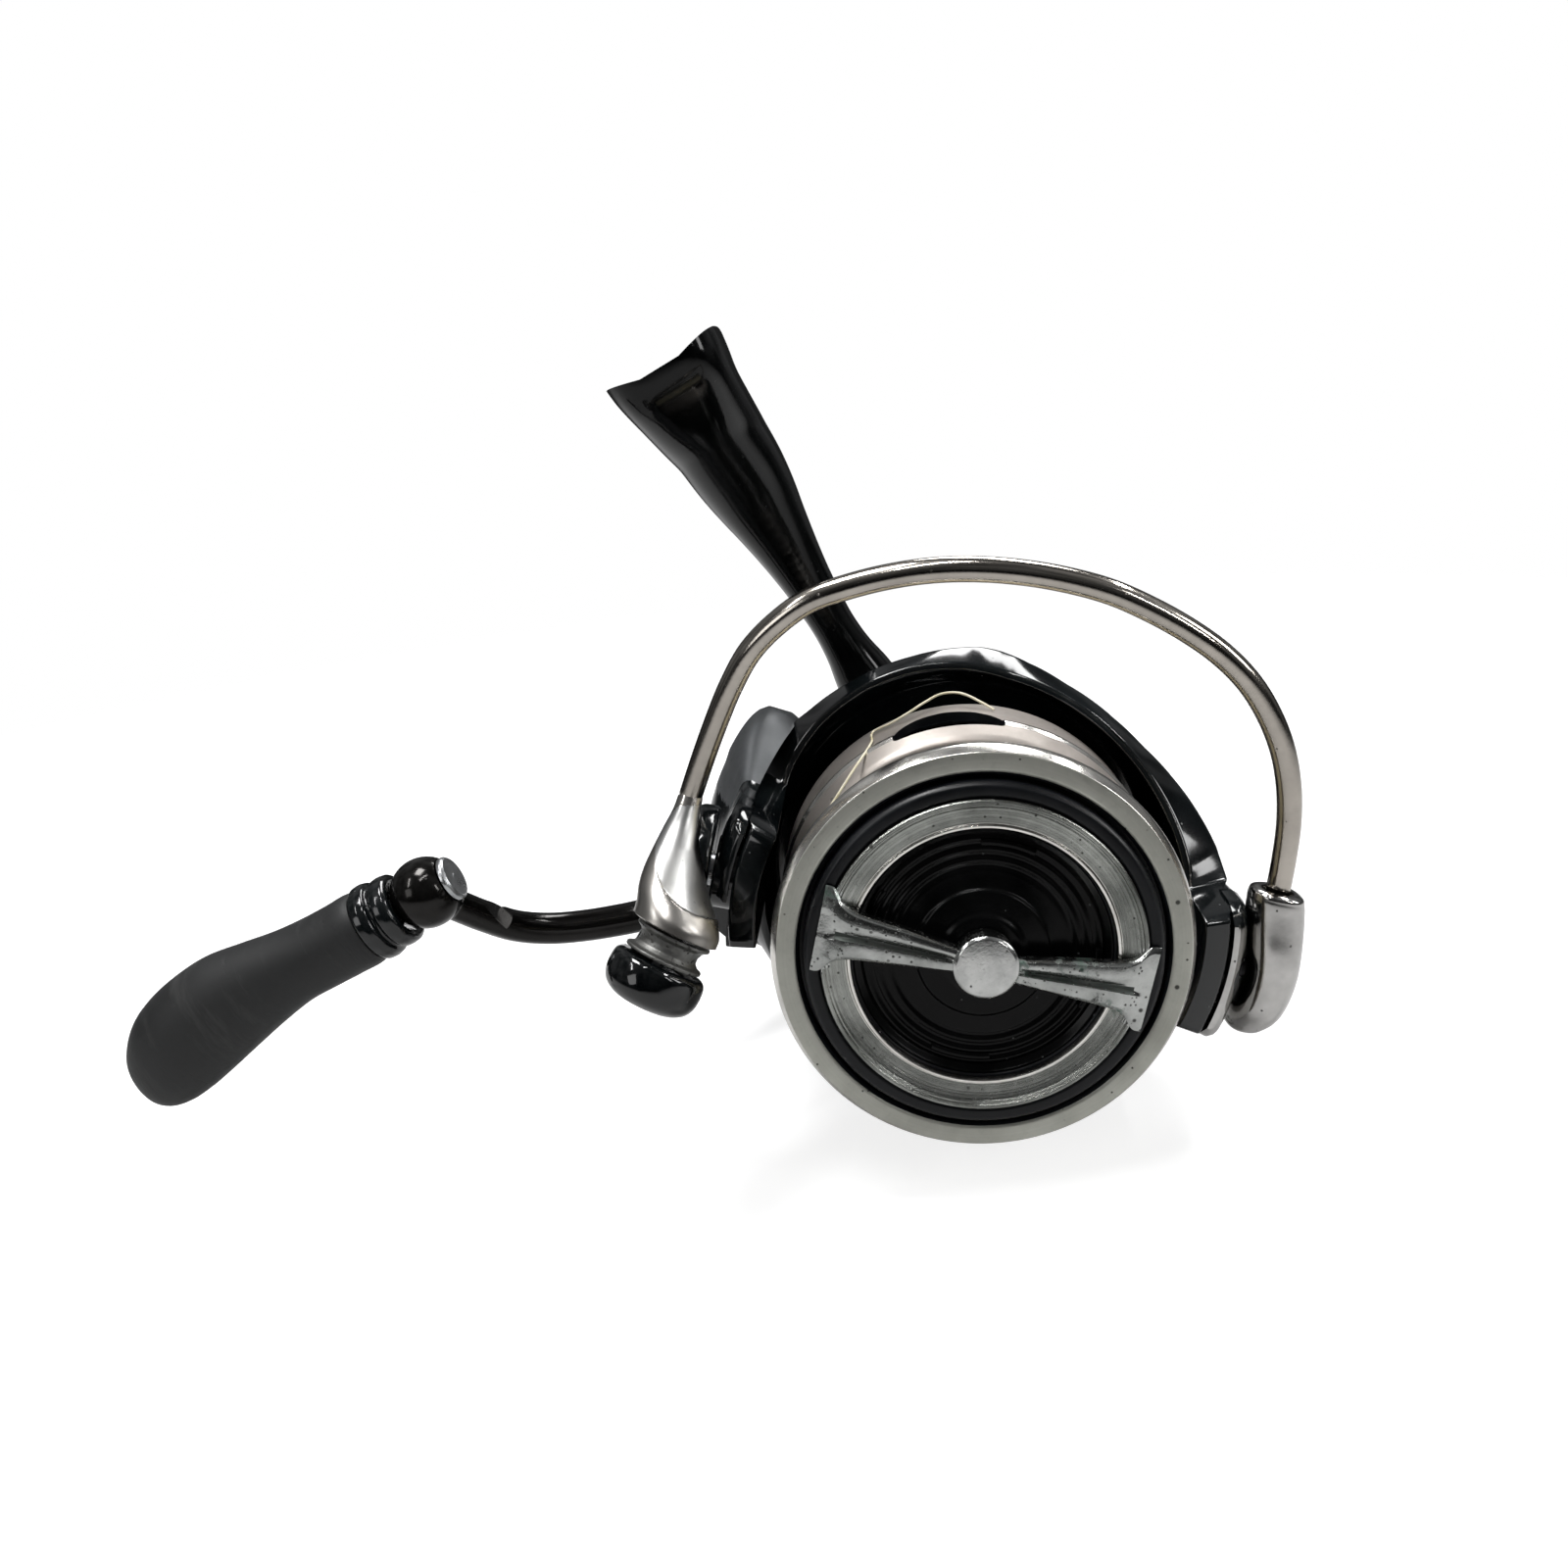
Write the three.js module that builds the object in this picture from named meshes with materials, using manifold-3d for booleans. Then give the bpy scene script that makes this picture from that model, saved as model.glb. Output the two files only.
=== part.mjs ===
// Spinning reel, a fishing reel with a fixed spool, built as an assembly of separate pieces.
// Millimetres, +Z up. The spool shaft runs along Y: the spool faces -Y, the tail is at +Y.
// The foot is on top and the handle is on the -X side. The origin is on the flat strip
// along the saddle of the foot, the face that rests on the rod.
import * as THREE from "three";
import { mergeVertices } from "three/addons/utils/BufferGeometryUtils.js";
import Module from "manifold-3d";

const wasm = await Module();
wasm.setup();
const { Manifold, Mesh: SolidMesh } = wasm;

// ---------- driving dimensions (mm, degrees), measured from the shaft axis ----------
const SADDLE_Y = -13; // place of the origin along the shaft
const SADDLE_Z = 72.2; // height of the saddle strip above the shaft
const FOOT_TOE_Y = -43.6;
const FOOT_HEEL_Y = 18.2;
const STRIP_HALF_WIDTH = 2.5;
const WALL = 2.0; // housing wall
const HOUSING_FRONT = -14.9;
const HOUSING_REAR = 25;
const SPLIT_X = 8.35; // plane between housing and side cover
const TAIL_SPLIT_Y = 17.6; // plane between housing and tail cover
const SEAM = 0.3; // gap between neighbouring pieces
const TAIL_SCREW_Z = -5;
const DRIVE_Z = -8.5; // height of the handle axis
const GEAR_TEETH = 30;
const GEAR_R = 12.02;
const GEAR_TUBE_R = 3.4;
const GEAR_BORE_R = 2.1;
const PINION_TEETH = 6;
const PINION_R = 3.4;
const OSC_TEETH = 24; // oscillation gear
const OSC_DRIVER_TEETH = 12;
const OSC_Y = 10.8;
const CRANK_R = 5.5; // radius of the pin on the oscillation gear
const CRANK_PIN_ANGLE = 63;
const SLIDER_Y = 13.3; // slider at rest
const GUIDE_X = 0.6; // guide rod of the slider
const GUIDE_Z = 4.8;
const SHAFT_R = 1.6;
const LIP_Y = -58; // front plane of the spool lip
const LIP_R = 23.5;
const SKIRT_R = 22.9;
const SKIRT_END = 26.5; // behind the lip plane
const ARBOR_R = 16.5;
const ROTOR_TURN = 40.5; // rest angle of the rotor about Y
const ROTOR_R_IN = 25.5;
const ARM_R = 28.6;
const ARM_HALF = 15; // half angle of a rotor arm
const ARM_FRONT = 6; // front end of the arms behind the lip plane
const PIVOT_BACK = 12; // bail pivot behind the lip plane
const BAIL_PIVOT_Y = LIP_Y + PIVOT_BACK;
const BAIL_LEAN = 75; // plane of the wire above the forward direction
const WIRE_R = 1.35;
const CRANK_LENGTH = 54.8;
const CRANK_TURN = 40.54; // rest angle of the handle about X
const KNOB_Y = -35.6; // knob axis, at the end of the turned crank
const KNOB_Z = 33.1;
const BALL_X = -59.5;
const BALL_R = 4.6;
const DRAG_KNOB_R = 19.75;
const DRAG_WASHER_R = 14.2;

// ---------- solids and sets ----------
const radians = THREE.MathUtils.degToRad;
const mix = (from, to, share) => from + (to - from) * share;
const vector = (x, y, z) => new THREE.Vector3(x, y, z);

// Linear interpolation in rows of [key, ...values], held constant beyond both ends.
function lookUp(rows, key) {
  if (key <= rows[0][0]) return rows[0].slice(1);
  for (let i = 1; i < rows.length; i++) {
    if (key > rows[i][0]) continue;
    const share = (key - rows[i - 1][0]) / (rows[i][0] - rows[i - 1][0]);
    return rows[i].slice(1).map((value, k) => mix(rows[i - 1][k + 1], value, share));
  }
  return rows[rows.length - 1].slice(1);
}

// A closed BufferGeometry as a manifold-3d solid, turned outwards if it is inside out.
function solid(geometry) {
  const bare = geometry.clone();
  bare.deleteAttribute("normal");
  bare.deleteAttribute("uv");
  const merged = mergeVertices(bare, 1e-4);
  const corners = merged.index.array;
  const triangles = [];
  for (let i = 0; i < corners.length; i += 3) {
    const [p, q, r] = [corners[i], corners[i + 1], corners[i + 2]];
    if (p !== q && q !== r && p !== r) triangles.push([p, q, r]);
  }
  const make = (list) =>
    new Manifold(
      new SolidMesh({
        numProp: 3,
        vertProperties: new Float32Array(merged.attributes.position.array),
        triVerts: new Uint32Array(list.flat()),
      }),
    );
  const result = make(triangles);
  return result.volume() > 0 ? result : make(triangles.map(([p, q, r]) => [p, r, q]));
}

function geometryOf(shape) {
  const mesh = shape.getMesh();
  const geometry = new THREE.BufferGeometry();
  const positions = new Float32Array(mesh.vertProperties);
  geometry.setAttribute("position", new THREE.BufferAttribute(positions, 3));
  geometry.setIndex(new THREE.BufferAttribute(new Uint32Array(mesh.triVerts), 1));
  geometry.computeVertexNormals();
  return geometry;
}

const join = (...shapes) => shapes.reduce((sum, shape) => sum.add(shape));
const cut = (base, ...tools) => tools.reduce((rest, tool) => rest.subtract(tool), base);

// ---------- turned, boxed and extruded shapes ----------
// A profile is a list of [radius, place along Y]; ring() closes it.
const turned = (profile, segments = 24) =>
  new THREE.LatheGeometry(profile.map(([r, y]) => new THREE.Vector2(r, y)), segments);
const ring = (profile, segments) => turned([...profile, profile[0]], segments);
const washer = (inner, outer, start, end, segments = 16) =>
  ring([[inner, start], [outer, start], [outer, end], [inner, end]], segments);
const rod = (radius, start, end, segments = 16) =>
  turned([[0, start], [radius, start], [radius, end], [0, end]], segments);
// Lays a shape turned about Y along X instead.
const alongX = (geometry, y = 0, z = 0) => geometry.rotateZ(-Math.PI / 2).translate(0, y, z);
const xRod = (radius, start, end, y, z, segments) =>
  solid(alongX(rod(radius, start, end, segments), y, z));
const yRod = (radius, start, end, x, z, segments) =>
  solid(rod(radius, start, end, segments).translate(x, 0, z));

const FAR = 100; // beyond every piece
const EVERYWHERE = [-FAR, FAR];
// A box between [low, high] limits.
function block(...limits) {
  const size = limits.map(([low, high]) => high - low);
  const centre = limits.map(([low, high]) => (low + high) / 2);
  return solid(new THREE.BoxGeometry(...size).translate(...centre));
}

const extruded = (outline, depth) =>
  new THREE.ExtrudeGeometry(
    new THREE.Shape(outline.map(([x, y]) => new THREE.Vector2(x, y))),
    { depth, bevelEnabled: false },
  );

// ---------- lofted shapes ----------
// A skin through rings of points, each ring with the same count. It is closed at both
// ends, or, with `loop`, runs on from the last ring to the first.
function loft(rings, loop = false) {
  const count = rings[0].length;
  const points = rings.flat();
  const index = [];
  for (let i = 0; i < rings.length - (loop ? 0 : 1); i++) {
    const here = i * count;
    const next = ((i + 1) % rings.length) * count;
    for (let k = 0; k < count; k++) {
      const after = (k + 1) % count;
      index.push(here + k, here + after, next + k, here + after, next + after, next + k);
    }
  }
  for (const end of loop ? [] : [0, rings.length - 1]) {
    const middle = vector(0, 0, 0);
    rings[end].forEach((point) => middle.add(point));
    const centre = points.push(middle.divideScalar(count)) - 1;
    for (let k = 0; k < count; k++) {
      const corner = end * count + k;
      const after = end * count + ((k + 1) % count);
      if (end === 0) index.push(after, corner, centre);
      else index.push(corner, after, centre);
    }
  }
  const geometry = new THREE.BufferGeometry();
  const positions = points.flatMap((point) => point.toArray());
  geometry.setAttribute("position", new THREE.Float32BufferAttribute(positions, 3));
  geometry.setIndex(index);
  return geometry;
}

// Superellipse; `place` turns its two coordinates into a point.
const superellipse = (count, halfA, halfB, power, place) =>
  Array.from({ length: count }, (_, k) => {
    const angle = (2 * Math.PI * k) / count;
    const bend = (value) => Math.sign(value) * Math.abs(value) ** (2 / power);
    return place(halfA * bend(Math.cos(angle)), halfB * bend(Math.sin(angle)));
  });

// A bar of elliptic section along points; sizesAt(share of the way) gives the half sizes
// across `up` and along it.
function bar(points, sizesAt, up, segments = 8) {
  const last = points.length - 1;
  return loft(
    points.map((point, i) => {
      const ahead = points[Math.min(i + 1, last)].clone();
      const tangent = ahead.sub(points[Math.max(i - 1, 0)]).normalize();
      const along = up.clone().addScaledVector(tangent, -up.dot(tangent)).normalize();
      const across = new THREE.Vector3().crossVectors(tangent, along);
      const [halfAcross, halfAlong] = sizesAt(i / last);
      return superellipse(segments, halfAcross, halfAlong, 2, (s, t) =>
        point.clone().addScaledVector(across, s).addScaledVector(along, t));
    }),
  );
}

// Shell about Y through angles; section(angle) gives a closed list of [radius, y].
const shell = (angles, section, loop) =>
  loft(angles.map((angle) => section(angle).map(([r, y]) =>
    vector(r * Math.cos(radians(angle)), y, r * Math.sin(radians(angle))))), loop);

// Spring about Y with `perTurn` points in each turn.
function helix(turns, radius, pitch, wire, perTurn) {
  const points = Array.from({ length: turns * perTurn + 1 }, (_, i) => {
    const angle = (2 * Math.PI * i) / perTurn;
    return vector(radius * Math.cos(angle), (pitch * i) / perTurn, radius * Math.sin(angle));
  });
  return bar(points, () => [wire, wire], vector(0, 1, 0), 4);
}

// Outline of a toothed wheel; tipHalf and rootHalf are half angles of a tooth in degrees.
function toothed({ teeth, tipR, rootR, tipHalf, rootHalf }) {
  const corners = [[rootR, -rootHalf], [tipR, -tipHalf], [tipR, tipHalf], [rootR, rootHalf]];
  return Array.from({ length: teeth }, (_, i) =>
    corners.map(([r, offset]) => {
      const angle = radians((360 * i) / teeth + offset);
      return [r * Math.cos(angle), r * Math.sin(angle)];
    })).flat();
}

// Spur gear about X, from x0 to x1, turned by `turn` degrees.
const spur = ({ x0, x1, turn, ...outline }) =>
  solid(extruded(toothed(outline), x1 - x0)
    .rotateZ(radians(turn))
    .rotateY(Math.PI / 2)
    .rotateX(Math.PI / 2)
    .translate(x0, 0, 0));

// ---------- frames, finishes, pieces ----------
function frame(parent, place, turn = [0, 0, 0]) {
  const group = new THREE.Group();
  group.position.set(...place);
  group.rotation.set(...turn.map(radians));
  parent.add(group);
  return group;
}
const root = new THREE.Group();
const shaftFrame = frame(root, [0, -SADDLE_Y, -SADDLE_Z]);
const rotorFrame = frame(shaftFrame, [0, 0, 0], [0, ROTOR_TURN, 0]);
const handleFrame = frame(shaftFrame, [0, 0, DRIVE_Z], [CRANK_TURN, 0, 0]);
const knobFrame = frame(shaftFrame, [0, KNOB_Y, KNOB_Z]);

const FINISHES = {
  gloss_black: { color: 0x0b0d0e, roughness: 0.18, metalness: 0.0 },
  satin_black: { color: 0x141516, roughness: 0.4, metalness: 0.1 },
  lip_silver: { color: 0xb9b6ab, roughness: 0.38, metalness: 0.9 },
  chrome: { color: 0xc9ccca, roughness: 0.15, metalness: 1.0 },
  polished: { color: 0xcfcfcd, roughness: 0.2, metalness: 1.0 },
  gunmetal: { color: 0x3a3734, roughness: 0.25, metalness: 0.9 },
  silver_cover: { color: 0x8d8f90, roughness: 0.4, metalness: 0.7 },
  steel: { color: 0xa9adb0, roughness: 0.35, metalness: 1.0 },
  brass: { color: 0xb08b45, roughness: 0.35, metalness: 0.9 },
  rubber: { color: 0x2f3031, roughness: 0.8, metalness: 0.0 },
  line: { color: 0xd8cfa8, roughness: 0.35, metalness: 0.0 },
  felt: { color: 0x6a6458, roughness: 0.95, metalness: 0.0 },
  plastic: { color: 0x1c1d1e, roughness: 0.5, metalness: 0.0 },
};

// Adds a named mesh made from a solid or a closed geometry.
function piece(name, shape, finish, parent = shaftFrame) {
  const geometry = geometryOf(shape.isBufferGeometry ? solid(shape) : shape);
  const mesh = new THREE.Mesh(geometry, new THREE.MeshStandardMaterial(FINISHES[finish]));
  mesh.name = name;
  parent.add(mesh);
}

// ---------- housing: body with stem and foot, side cover, tail cover ----------
const HOUSING = [ // y, half width, half height, centre z
  [HOUSING_FRONT, 15.6, 17.0, -4.0], [-11, 16.3, 18.4, -5.0], [-4, 16.6, 19.5, -6.2],
  [4, 16.2, 19.6, -6.6], [11, 14.8, 18.4, -6.5], [16, 12.9, 16.7, -6.1],
  [20, 10.4, 14.2, -5.6], [23.4, 7.0, 10.2, -5.2], [HOUSING_REAR, 3.4, 5.4, -5.0],
];
const STEM = [ // z, front y, rear y, half width, share of the width lost at the rear
  [7, -12.6, 12, 7.8, 0.1], [14, -12.8, 9, 5.9, 0.15], [20, -12.9, 5, 5.0, 0.2],
  [26, -13.0, 1.5, 4.4, 0.25], [30, -13.5, -1.0, 3.6, 0.3], [34, -14.5, -2.4, 3.25, 0.3],
  [38, -15.5, -2.8, 3.45, 0.32], [42, -17.0, -2.2, 3.9, 0.38], [46, -19.0, -0.8, 4.55, 0.42],
  [50, -21.5, 1.2, 5.4, 0.5], [54, -24.5, 3.6, 6.35, 0.56], [58, -28.5, 6.2, 7.0, 0.6],
  [62, -33.0, 9.0, 7.2, 0.62], [66, -38.0, 11.8, 7.2, 0.62], [69, -41.6, 14.8, 7.3, 0.62],
  [71, -43.0, 17.0, 7.7, 0.62], [74.2, FOOT_TOE_Y, FOOT_HEEL_Y, 8.1, 0.6],
];
const FOOT_FROM_Z = 68; // the stem's sections are squarer above this
const SADDLE_ROOM = [ // x, z of the room above the saddle
  [-STRIP_HALF_WIDTH, SADDLE_Z], [STRIP_HALF_WIDTH, SADDLE_Z], [8.2, SADDLE_Z + 1.6],
  [8.2, 80], [-8.2, 80], [-8.2, SADDLE_Z + 1.6],
];
const COVER_SCREWS = [[-9.5, 7.5], [13.0, 5.8], [13.5, -17.8]]; // y, z

// The housing's outside brought in by `inset`, between two places along Y.
function housingForm(inset, start, end, segments) {
  const between = HOUSING.map(([y]) => y).filter((y) => y > start && y < end);
  return solid(loft([start, ...between, end].map((y) => {
    const [halfWidth, halfHeight, centreZ] = lookUp(HOUSING, y);
    return superellipse(segments, halfWidth - inset, halfHeight - inset, 2.7, (x, z) =>
      vector(x, y, z + centreZ));
  })));
}
const stemForm = () =>
  solid(loft(STEM.map(([z, front, rear, halfWidth, loss]) => {
    const half = (rear - front) / 2;
    const narrowed = (y) => (1 - (loss * (y / half + 1)) / 2) / (1 - 0.12 * loss);
    return superellipse(18, half, halfWidth, z > FOOT_FROM_Z ? 4.1 : 2.4, (y, x) =>
      vector(x * narrowed(y), y + (front + rear) / 2, z));
  })));

const outer = housingForm(0, HOUSING_FRONT, HOUSING_REAR, 22);
const inner = housingForm(WALL, -13.2, 22.4, 16);
const skin = cut(outer, inner);
const stem = stemForm();
// Pad and bore for a drive bearing; side is -1 on the handle side, 1 on the cover side.
const bearingPad = (side) =>
  join(
    xRod(7.6, side * 12.4, side * 17.0, 0, DRIVE_Z),
    xRod(8.2, side * 9.3, side * 13, 0, DRIVE_Z),
  );
const bearingBore = (side) =>
  join(
    xRod(6.8, side * 5, side * 13.5, 0, DRIVE_Z),
    xRod(4.6, side * 13, side * 20, 0, DRIVE_Z),
  );
const atScrews = (radius, start, end, segments) =>
  join(...COVER_SCREWS.map(([y, z]) => xRod(radius, start, end, y, z, segments)));
const screwHoles = join(atScrews(1.35, 3.9, 20, 10), atScrews(2.1, 9.5, 22, 12));
const SCREW_BOSS_R = 2.6;
const beforeTail = [-FAR, TAIL_SPLIT_Y - SEAM / 2];

function reelBody() {
  const side = block([-FAR, SPLIT_X - SEAM / 2], beforeTail, EVERYWHERE);
  const saddle = solid(extruded(SADDLE_ROOM, 80).rotateX(Math.PI / 2).translate(0, 30, 0));
  const nose = yRod(13, -21.5, -12.9, 0, 0, 20);
  const noseBores = join(yRod(7.35, -22, -12, 0, 0, 16), yRod(9.95, -22, -16.9, 0, 0, 20));
  const walls = join(skin.intersect(side), bearingPad(-1), cut(stem, inner, saddle), nose);
  const oscillationAxle = xRod(1.5, -14, -3.0, OSC_Y, DRIVE_Z, 10);
  const bosses = atScrews(SCREW_BOSS_R, 3.6, SPLIT_X - SEAM / 2, 10).intersect(outer);
  return cut(
    join(cut(walls, noseBores, bearingBore(-1)), oscillationAxle, bosses),
    screwHoles,
  );
}
function sideCover() {
  const side = block([SPLIT_X + SEAM / 2, FAR], beforeTail, EVERYWHERE);
  const bosses = atScrews(SCREW_BOSS_R, SPLIT_X + SEAM / 2, 14, 10);
  const bossRoom = housingForm(0.4, -14.0, 23.6, 20); // keeps the bosses inside the skin
  const noseRoom = yRod(13.3, -22, -12.6, 0, 0, 24);
  return cut(
    join(skin.intersect(side), bearingPad(1), bosses.intersect(bossRoom)),
    bearingBore(1), screwHoles, noseRoom, stem,
  );
}
const tailCover = () =>
  cut(
    skin.intersect(block(EVERYWHERE, [TAIL_SPLIT_Y + SEAM / 2, FAR], EVERYWHERE)),
    yRod(1.3, 20, 26, 0, TAIL_SCREW_Z, 12),
    yRod(2.1, 23.6, 26, 0, TAIL_SCREW_Z, 12),
  );
const tailScrew = () =>
  join(
    yRod(1.7, 23.9, 24.9, 0, TAIL_SCREW_Z, 12),
    yRod(1.0, 20.2, 24.2, 0, TAIL_SCREW_Z, 10),
  );
const coverScrew = (y, z) =>
  cut(
    join(xRod(1.75, 9.8, 11.0, y, z, 12), xRod(1.0, 4.3, 10.0, y, z, 8)),
    block([10.5, 12], [y - 1.3, y + 1.3], [z - 0.3, z + 0.3]), // slot
  );
const socketCap = () =>
  join(xRod(6.2, 17.3, 18.4, 0, DRIVE_Z, 24), xRod(4.1, 13.9, 17.5, 0, DRIVE_Z, 16));

piece("reel_body", reelBody(), "gloss_black");
piece("side_cover", sideCover(), "gloss_black");
piece("tail_cover", tailCover(), "satin_black");
piece("tail_screw", tailScrew(), "steel");
COVER_SCREWS.forEach(([y, z], i) => piece("cover_screw_" + (i + 1), coverScrew(y, z), "steel"));
piece("socket_cap", socketCap(), "satin_black");

// ---------- drive train ----------
const GEAR_DISC = [ // radius, x
  [GEAR_BORE_R, 3.0], [3.8, 3.0], [3.8, 3.95], [12.9, 3.95], [12.9, 6.4], [5, 6.4],
  [5, 9.2], [GEAR_TUBE_R, 9.2], [GEAR_TUBE_R, 13.0], [GEAR_BORE_R, 13.0],
];
const GEAR_TUBE = [ // radius, x
  [GEAR_BORE_R, -13.0], [GEAR_TUBE_R, -13.0], [GEAR_TUBE_R, -9.2], [4.0, -9.2],
  [4.0, -6.2], [2.95, -6.0], [2.95, 3.2], [GEAR_BORE_R, 3.2],
];

// A radial face tooth, narrower at its tip.
const faceTooth = (angle) =>
  solid(loft([[4.2, 0.66], [3.12, 0.34]].map(([x, halfWidth]) => [
    vector(x, 10.4, -halfWidth * 0.87), vector(x, 12.7, -halfWidth),
    vector(x, 12.7, halfWidth), vector(x, 10.4, halfWidth * 0.87),
  ])).rotateX(radians(angle)));

function driveGear() {
  const pitch = 360 / GEAR_TEETH;
  const teeth = Array.from({ length: GEAR_TEETH }, (_, i) =>
    faceTooth(135 - CRANK_TURN + pitch * (i + 0.5)));
  const oscDriver = spur({
    teeth: OSC_DRIVER_TEETH, tipR: 4.05, rootR: 2.98, tipHalf: 5.2, rootHalf: 10.2,
    x0: -5.5, x1: -3.2, turn: -CRANK_TURN,
  });
  return join(
    solid(alongX(ring(GEAR_DISC, 24))),
    solid(alongX(ring(GEAR_TUBE, 16))),
    ...teeth,
    cut(oscDriver, xRod(2.5, -6, -3, 0, 0, 16)),
  );
}
function pinionGear() {
  const outline = toothed({
    teeth: PINION_TEETH, tipR: 3.72, rootR: 2.72, tipHalf: 6.2, rootHalf: 16,
  });
  const steps = 8;
  const rings = Array.from({ length: steps + 1 }, (_, i) => {
    const y = mix(-12, -5, i / steps);
    const twist = (y + GEAR_R / Math.SQRT2) / PINION_R; // 45 degree helix
    return outline.map(([across, up]) => {
      const angle = Math.atan2(up, across) + twist;
      const radius = Math.hypot(across, up);
      return vector(radius * Math.cos(angle), y, -radius * Math.sin(angle));
    });
  });
  const tube = yRod(3.35, -27.2, -11.5, 0, 0, 20);
  return cut(join(solid(loft(rings)), tube), yRod(1.9, -28, -4, 0, 0, 16));
}
function oscillationGear() {
  const wheel = spur({
    teeth: OSC_TEETH, tipR: 7.65, rootR: 6.5, tipHalf: 2.4, rootHalf: 4.8,
    x0: -5.4, x1: -3.3, turn: 7.5,
  });
  const angle = radians(CRANK_PIN_ANGLE);
  const pin = xRod(1.0, -3.5, -2.1, CRANK_R * Math.cos(angle), CRANK_R * Math.sin(angle), 10);
  return join(cut(wheel, xRod(1.85, -6, -2, 0, 0, 14)), pin).translate([0, OSC_Y, DRIVE_Z]);
}
function slider() {
  const along = (half) => [SLIDER_Y - half, SLIDER_Y + half];
  return cut(
    join(
      block([-1.7, 3.0], along(2.6), [-2.9, 6.5]),
      block([-1.7, -0.3], along(2.2), [-15.6, -2]),
    ),
    block([-3, 1], along(1.3), [-14.6, -3.6]), // slot for the crank pin
    yRod(1.85, 0, SLIDER_Y + 4, 0, 0, 14),
    yRod(1.15, 0, 30, GUIDE_X, GUIDE_Z, 10),
  );
}
const MAIN_SHAFT = [ // radius, y
  [0, LIP_Y - 0.2], [1.3, LIP_Y - 0.2], [SHAFT_R, LIP_Y + 0.2],
  [SHAFT_R, SLIDER_Y + 2.2], [0, SLIDER_Y + 2.2],
];

piece("drive_gear", driveGear(), "brass", handleFrame);
for (const [name, side] of [["left", -1], ["right", 1]]) {
  const bearing = alongX(washer(3.75, 6.45, side * 9.6, side * 13.2), 0, DRIVE_Z);
  piece("drive_bearing_" + name, bearing, "steel");
}
piece("pinion_gear", pinionGear(), "brass");
piece("pinion_bearing", washer(3.75, 7.0, -16.6, -13.6), "steel");
piece("one_way_clutch", washer(5.75, 9.5, -21.3, -17.2, 24), "steel");
piece("clutch_sleeve", washer(3.75, 5.35, -21.6, -17.2), "steel");
piece("oscillation_gear", oscillationGear(), "plastic");
piece("slider", slider(), "satin_black");
piece("guide_rod", yRod(0.75, -12.8, 19.6, GUIDE_X, GUIDE_Z, 8), "steel");
piece("main_shaft", turned(MAIN_SHAFT, 14), "steel");

// ---------- rotor: the holder arm is at +X, the lever arm at -X ----------
const RIM = [ // angle from the holder arm, front edge behind the lip, inner radius, outer added
  [0, ARM_FRONT, ROTOR_R_IN, 0], [ARM_HALF, ARM_FRONT, ROTOR_R_IN, 0],
  [16.6, 15.9, 25.5, 0], [30, 18.4, 25.5, -0.3], [45, 21.3, 25.5, -0.5],
  [60, 24.4, 25.6, -0.4], [75, 27.7, 25.6, 0.2], [90, 30.2, 25.7, 0.9],
  [100, 30.9, 26.2, 1.0], [115, 31.0, 26.7, 0.9], [130, 30.6, 26.8, 0.7],
  [145, 29.6, 26.6, 0.5], [158, 28.4, 26.0, 0.2], [163, 26.8, 25.5, 0],
  [180 - ARM_HALF, ARM_FRONT, ROTOR_R_IN, 0], [180, ARM_FRONT, ROTOR_R_IN, 0],
];
const OUTSIDE = [ // y, outer radius
  [-52, ARM_R], [-40, ARM_R], [-30, 28.35], [-24, 27.7], [-21.5, 26.4], [-19, 24.6],
  [-17, 22.4], [-15.5, 19.5],
];
const HALF_TURN = [ // section angles over half a turn, mirrored for the other half
  0, 8, ARM_HALF, 16.6, 23, 31, 42, 54, 67, 80, 92, 104, 116, 128, 140, 151, 163,
  180 - ARM_HALF, 172, 180,
];
const ARM_COVER = [ // y, half angle, thickness on the holder arm, thickness on the lever arm
  [-50.6, 13.5, 1.4, 1.4], [-49, 15, 1.9, 1.9], [-43, 16.6, 2.0, 2.0], [-38, 17.5, 2.1, 2.1],
  [-34, 21.5, 2.4, 3.2], [-30.5, 25, 3.0, 4.4], [-27.5, 27, 3.3, 4.9],
  [-24.5, 27, 3.0, 4.5], [-22, 26, 2.2, 3.0], [-20.4, 24, 1.0, 1.0],
];
const clamp = THREE.MathUtils.clamp;
const fromHolder = (angle) => Math.abs(((angle + 540) % 360) - 180);

// 1 on the arms, falling to 0 over the 6 degrees beside them.
function armShare(angle) {
  const away = fromHolder(angle);
  return 1 - clamp((Math.min(away, 180 - away) - ARM_HALF) / 6, 0, 1);
}
function rotorSection(angle) {
  const [edge, inside, added] = lookUp(RIM, fromHolder(angle));
  const outside = (y) => [lookUp(OUTSIDE, y)[0] + added * clamp((-17 - y) / 8, 0, 1), y];
  const front = LIP_Y + edge;
  const shoulder = front + mix(3.4, 0.9, armShare(angle));
  return [
    [inside, front], outside(shoulder), outside(mix(shoulder, -21.5, 0.5)), outside(-21.5),
    outside(-19), outside(-17), [19.5, -15.5], [16.8, -15.5], [14.8, -22.2], [3.7, -22.2],
    [3.7, -24], [24.6, -24], [ROTOR_R_IN, -25.4],
  ];
}
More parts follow.
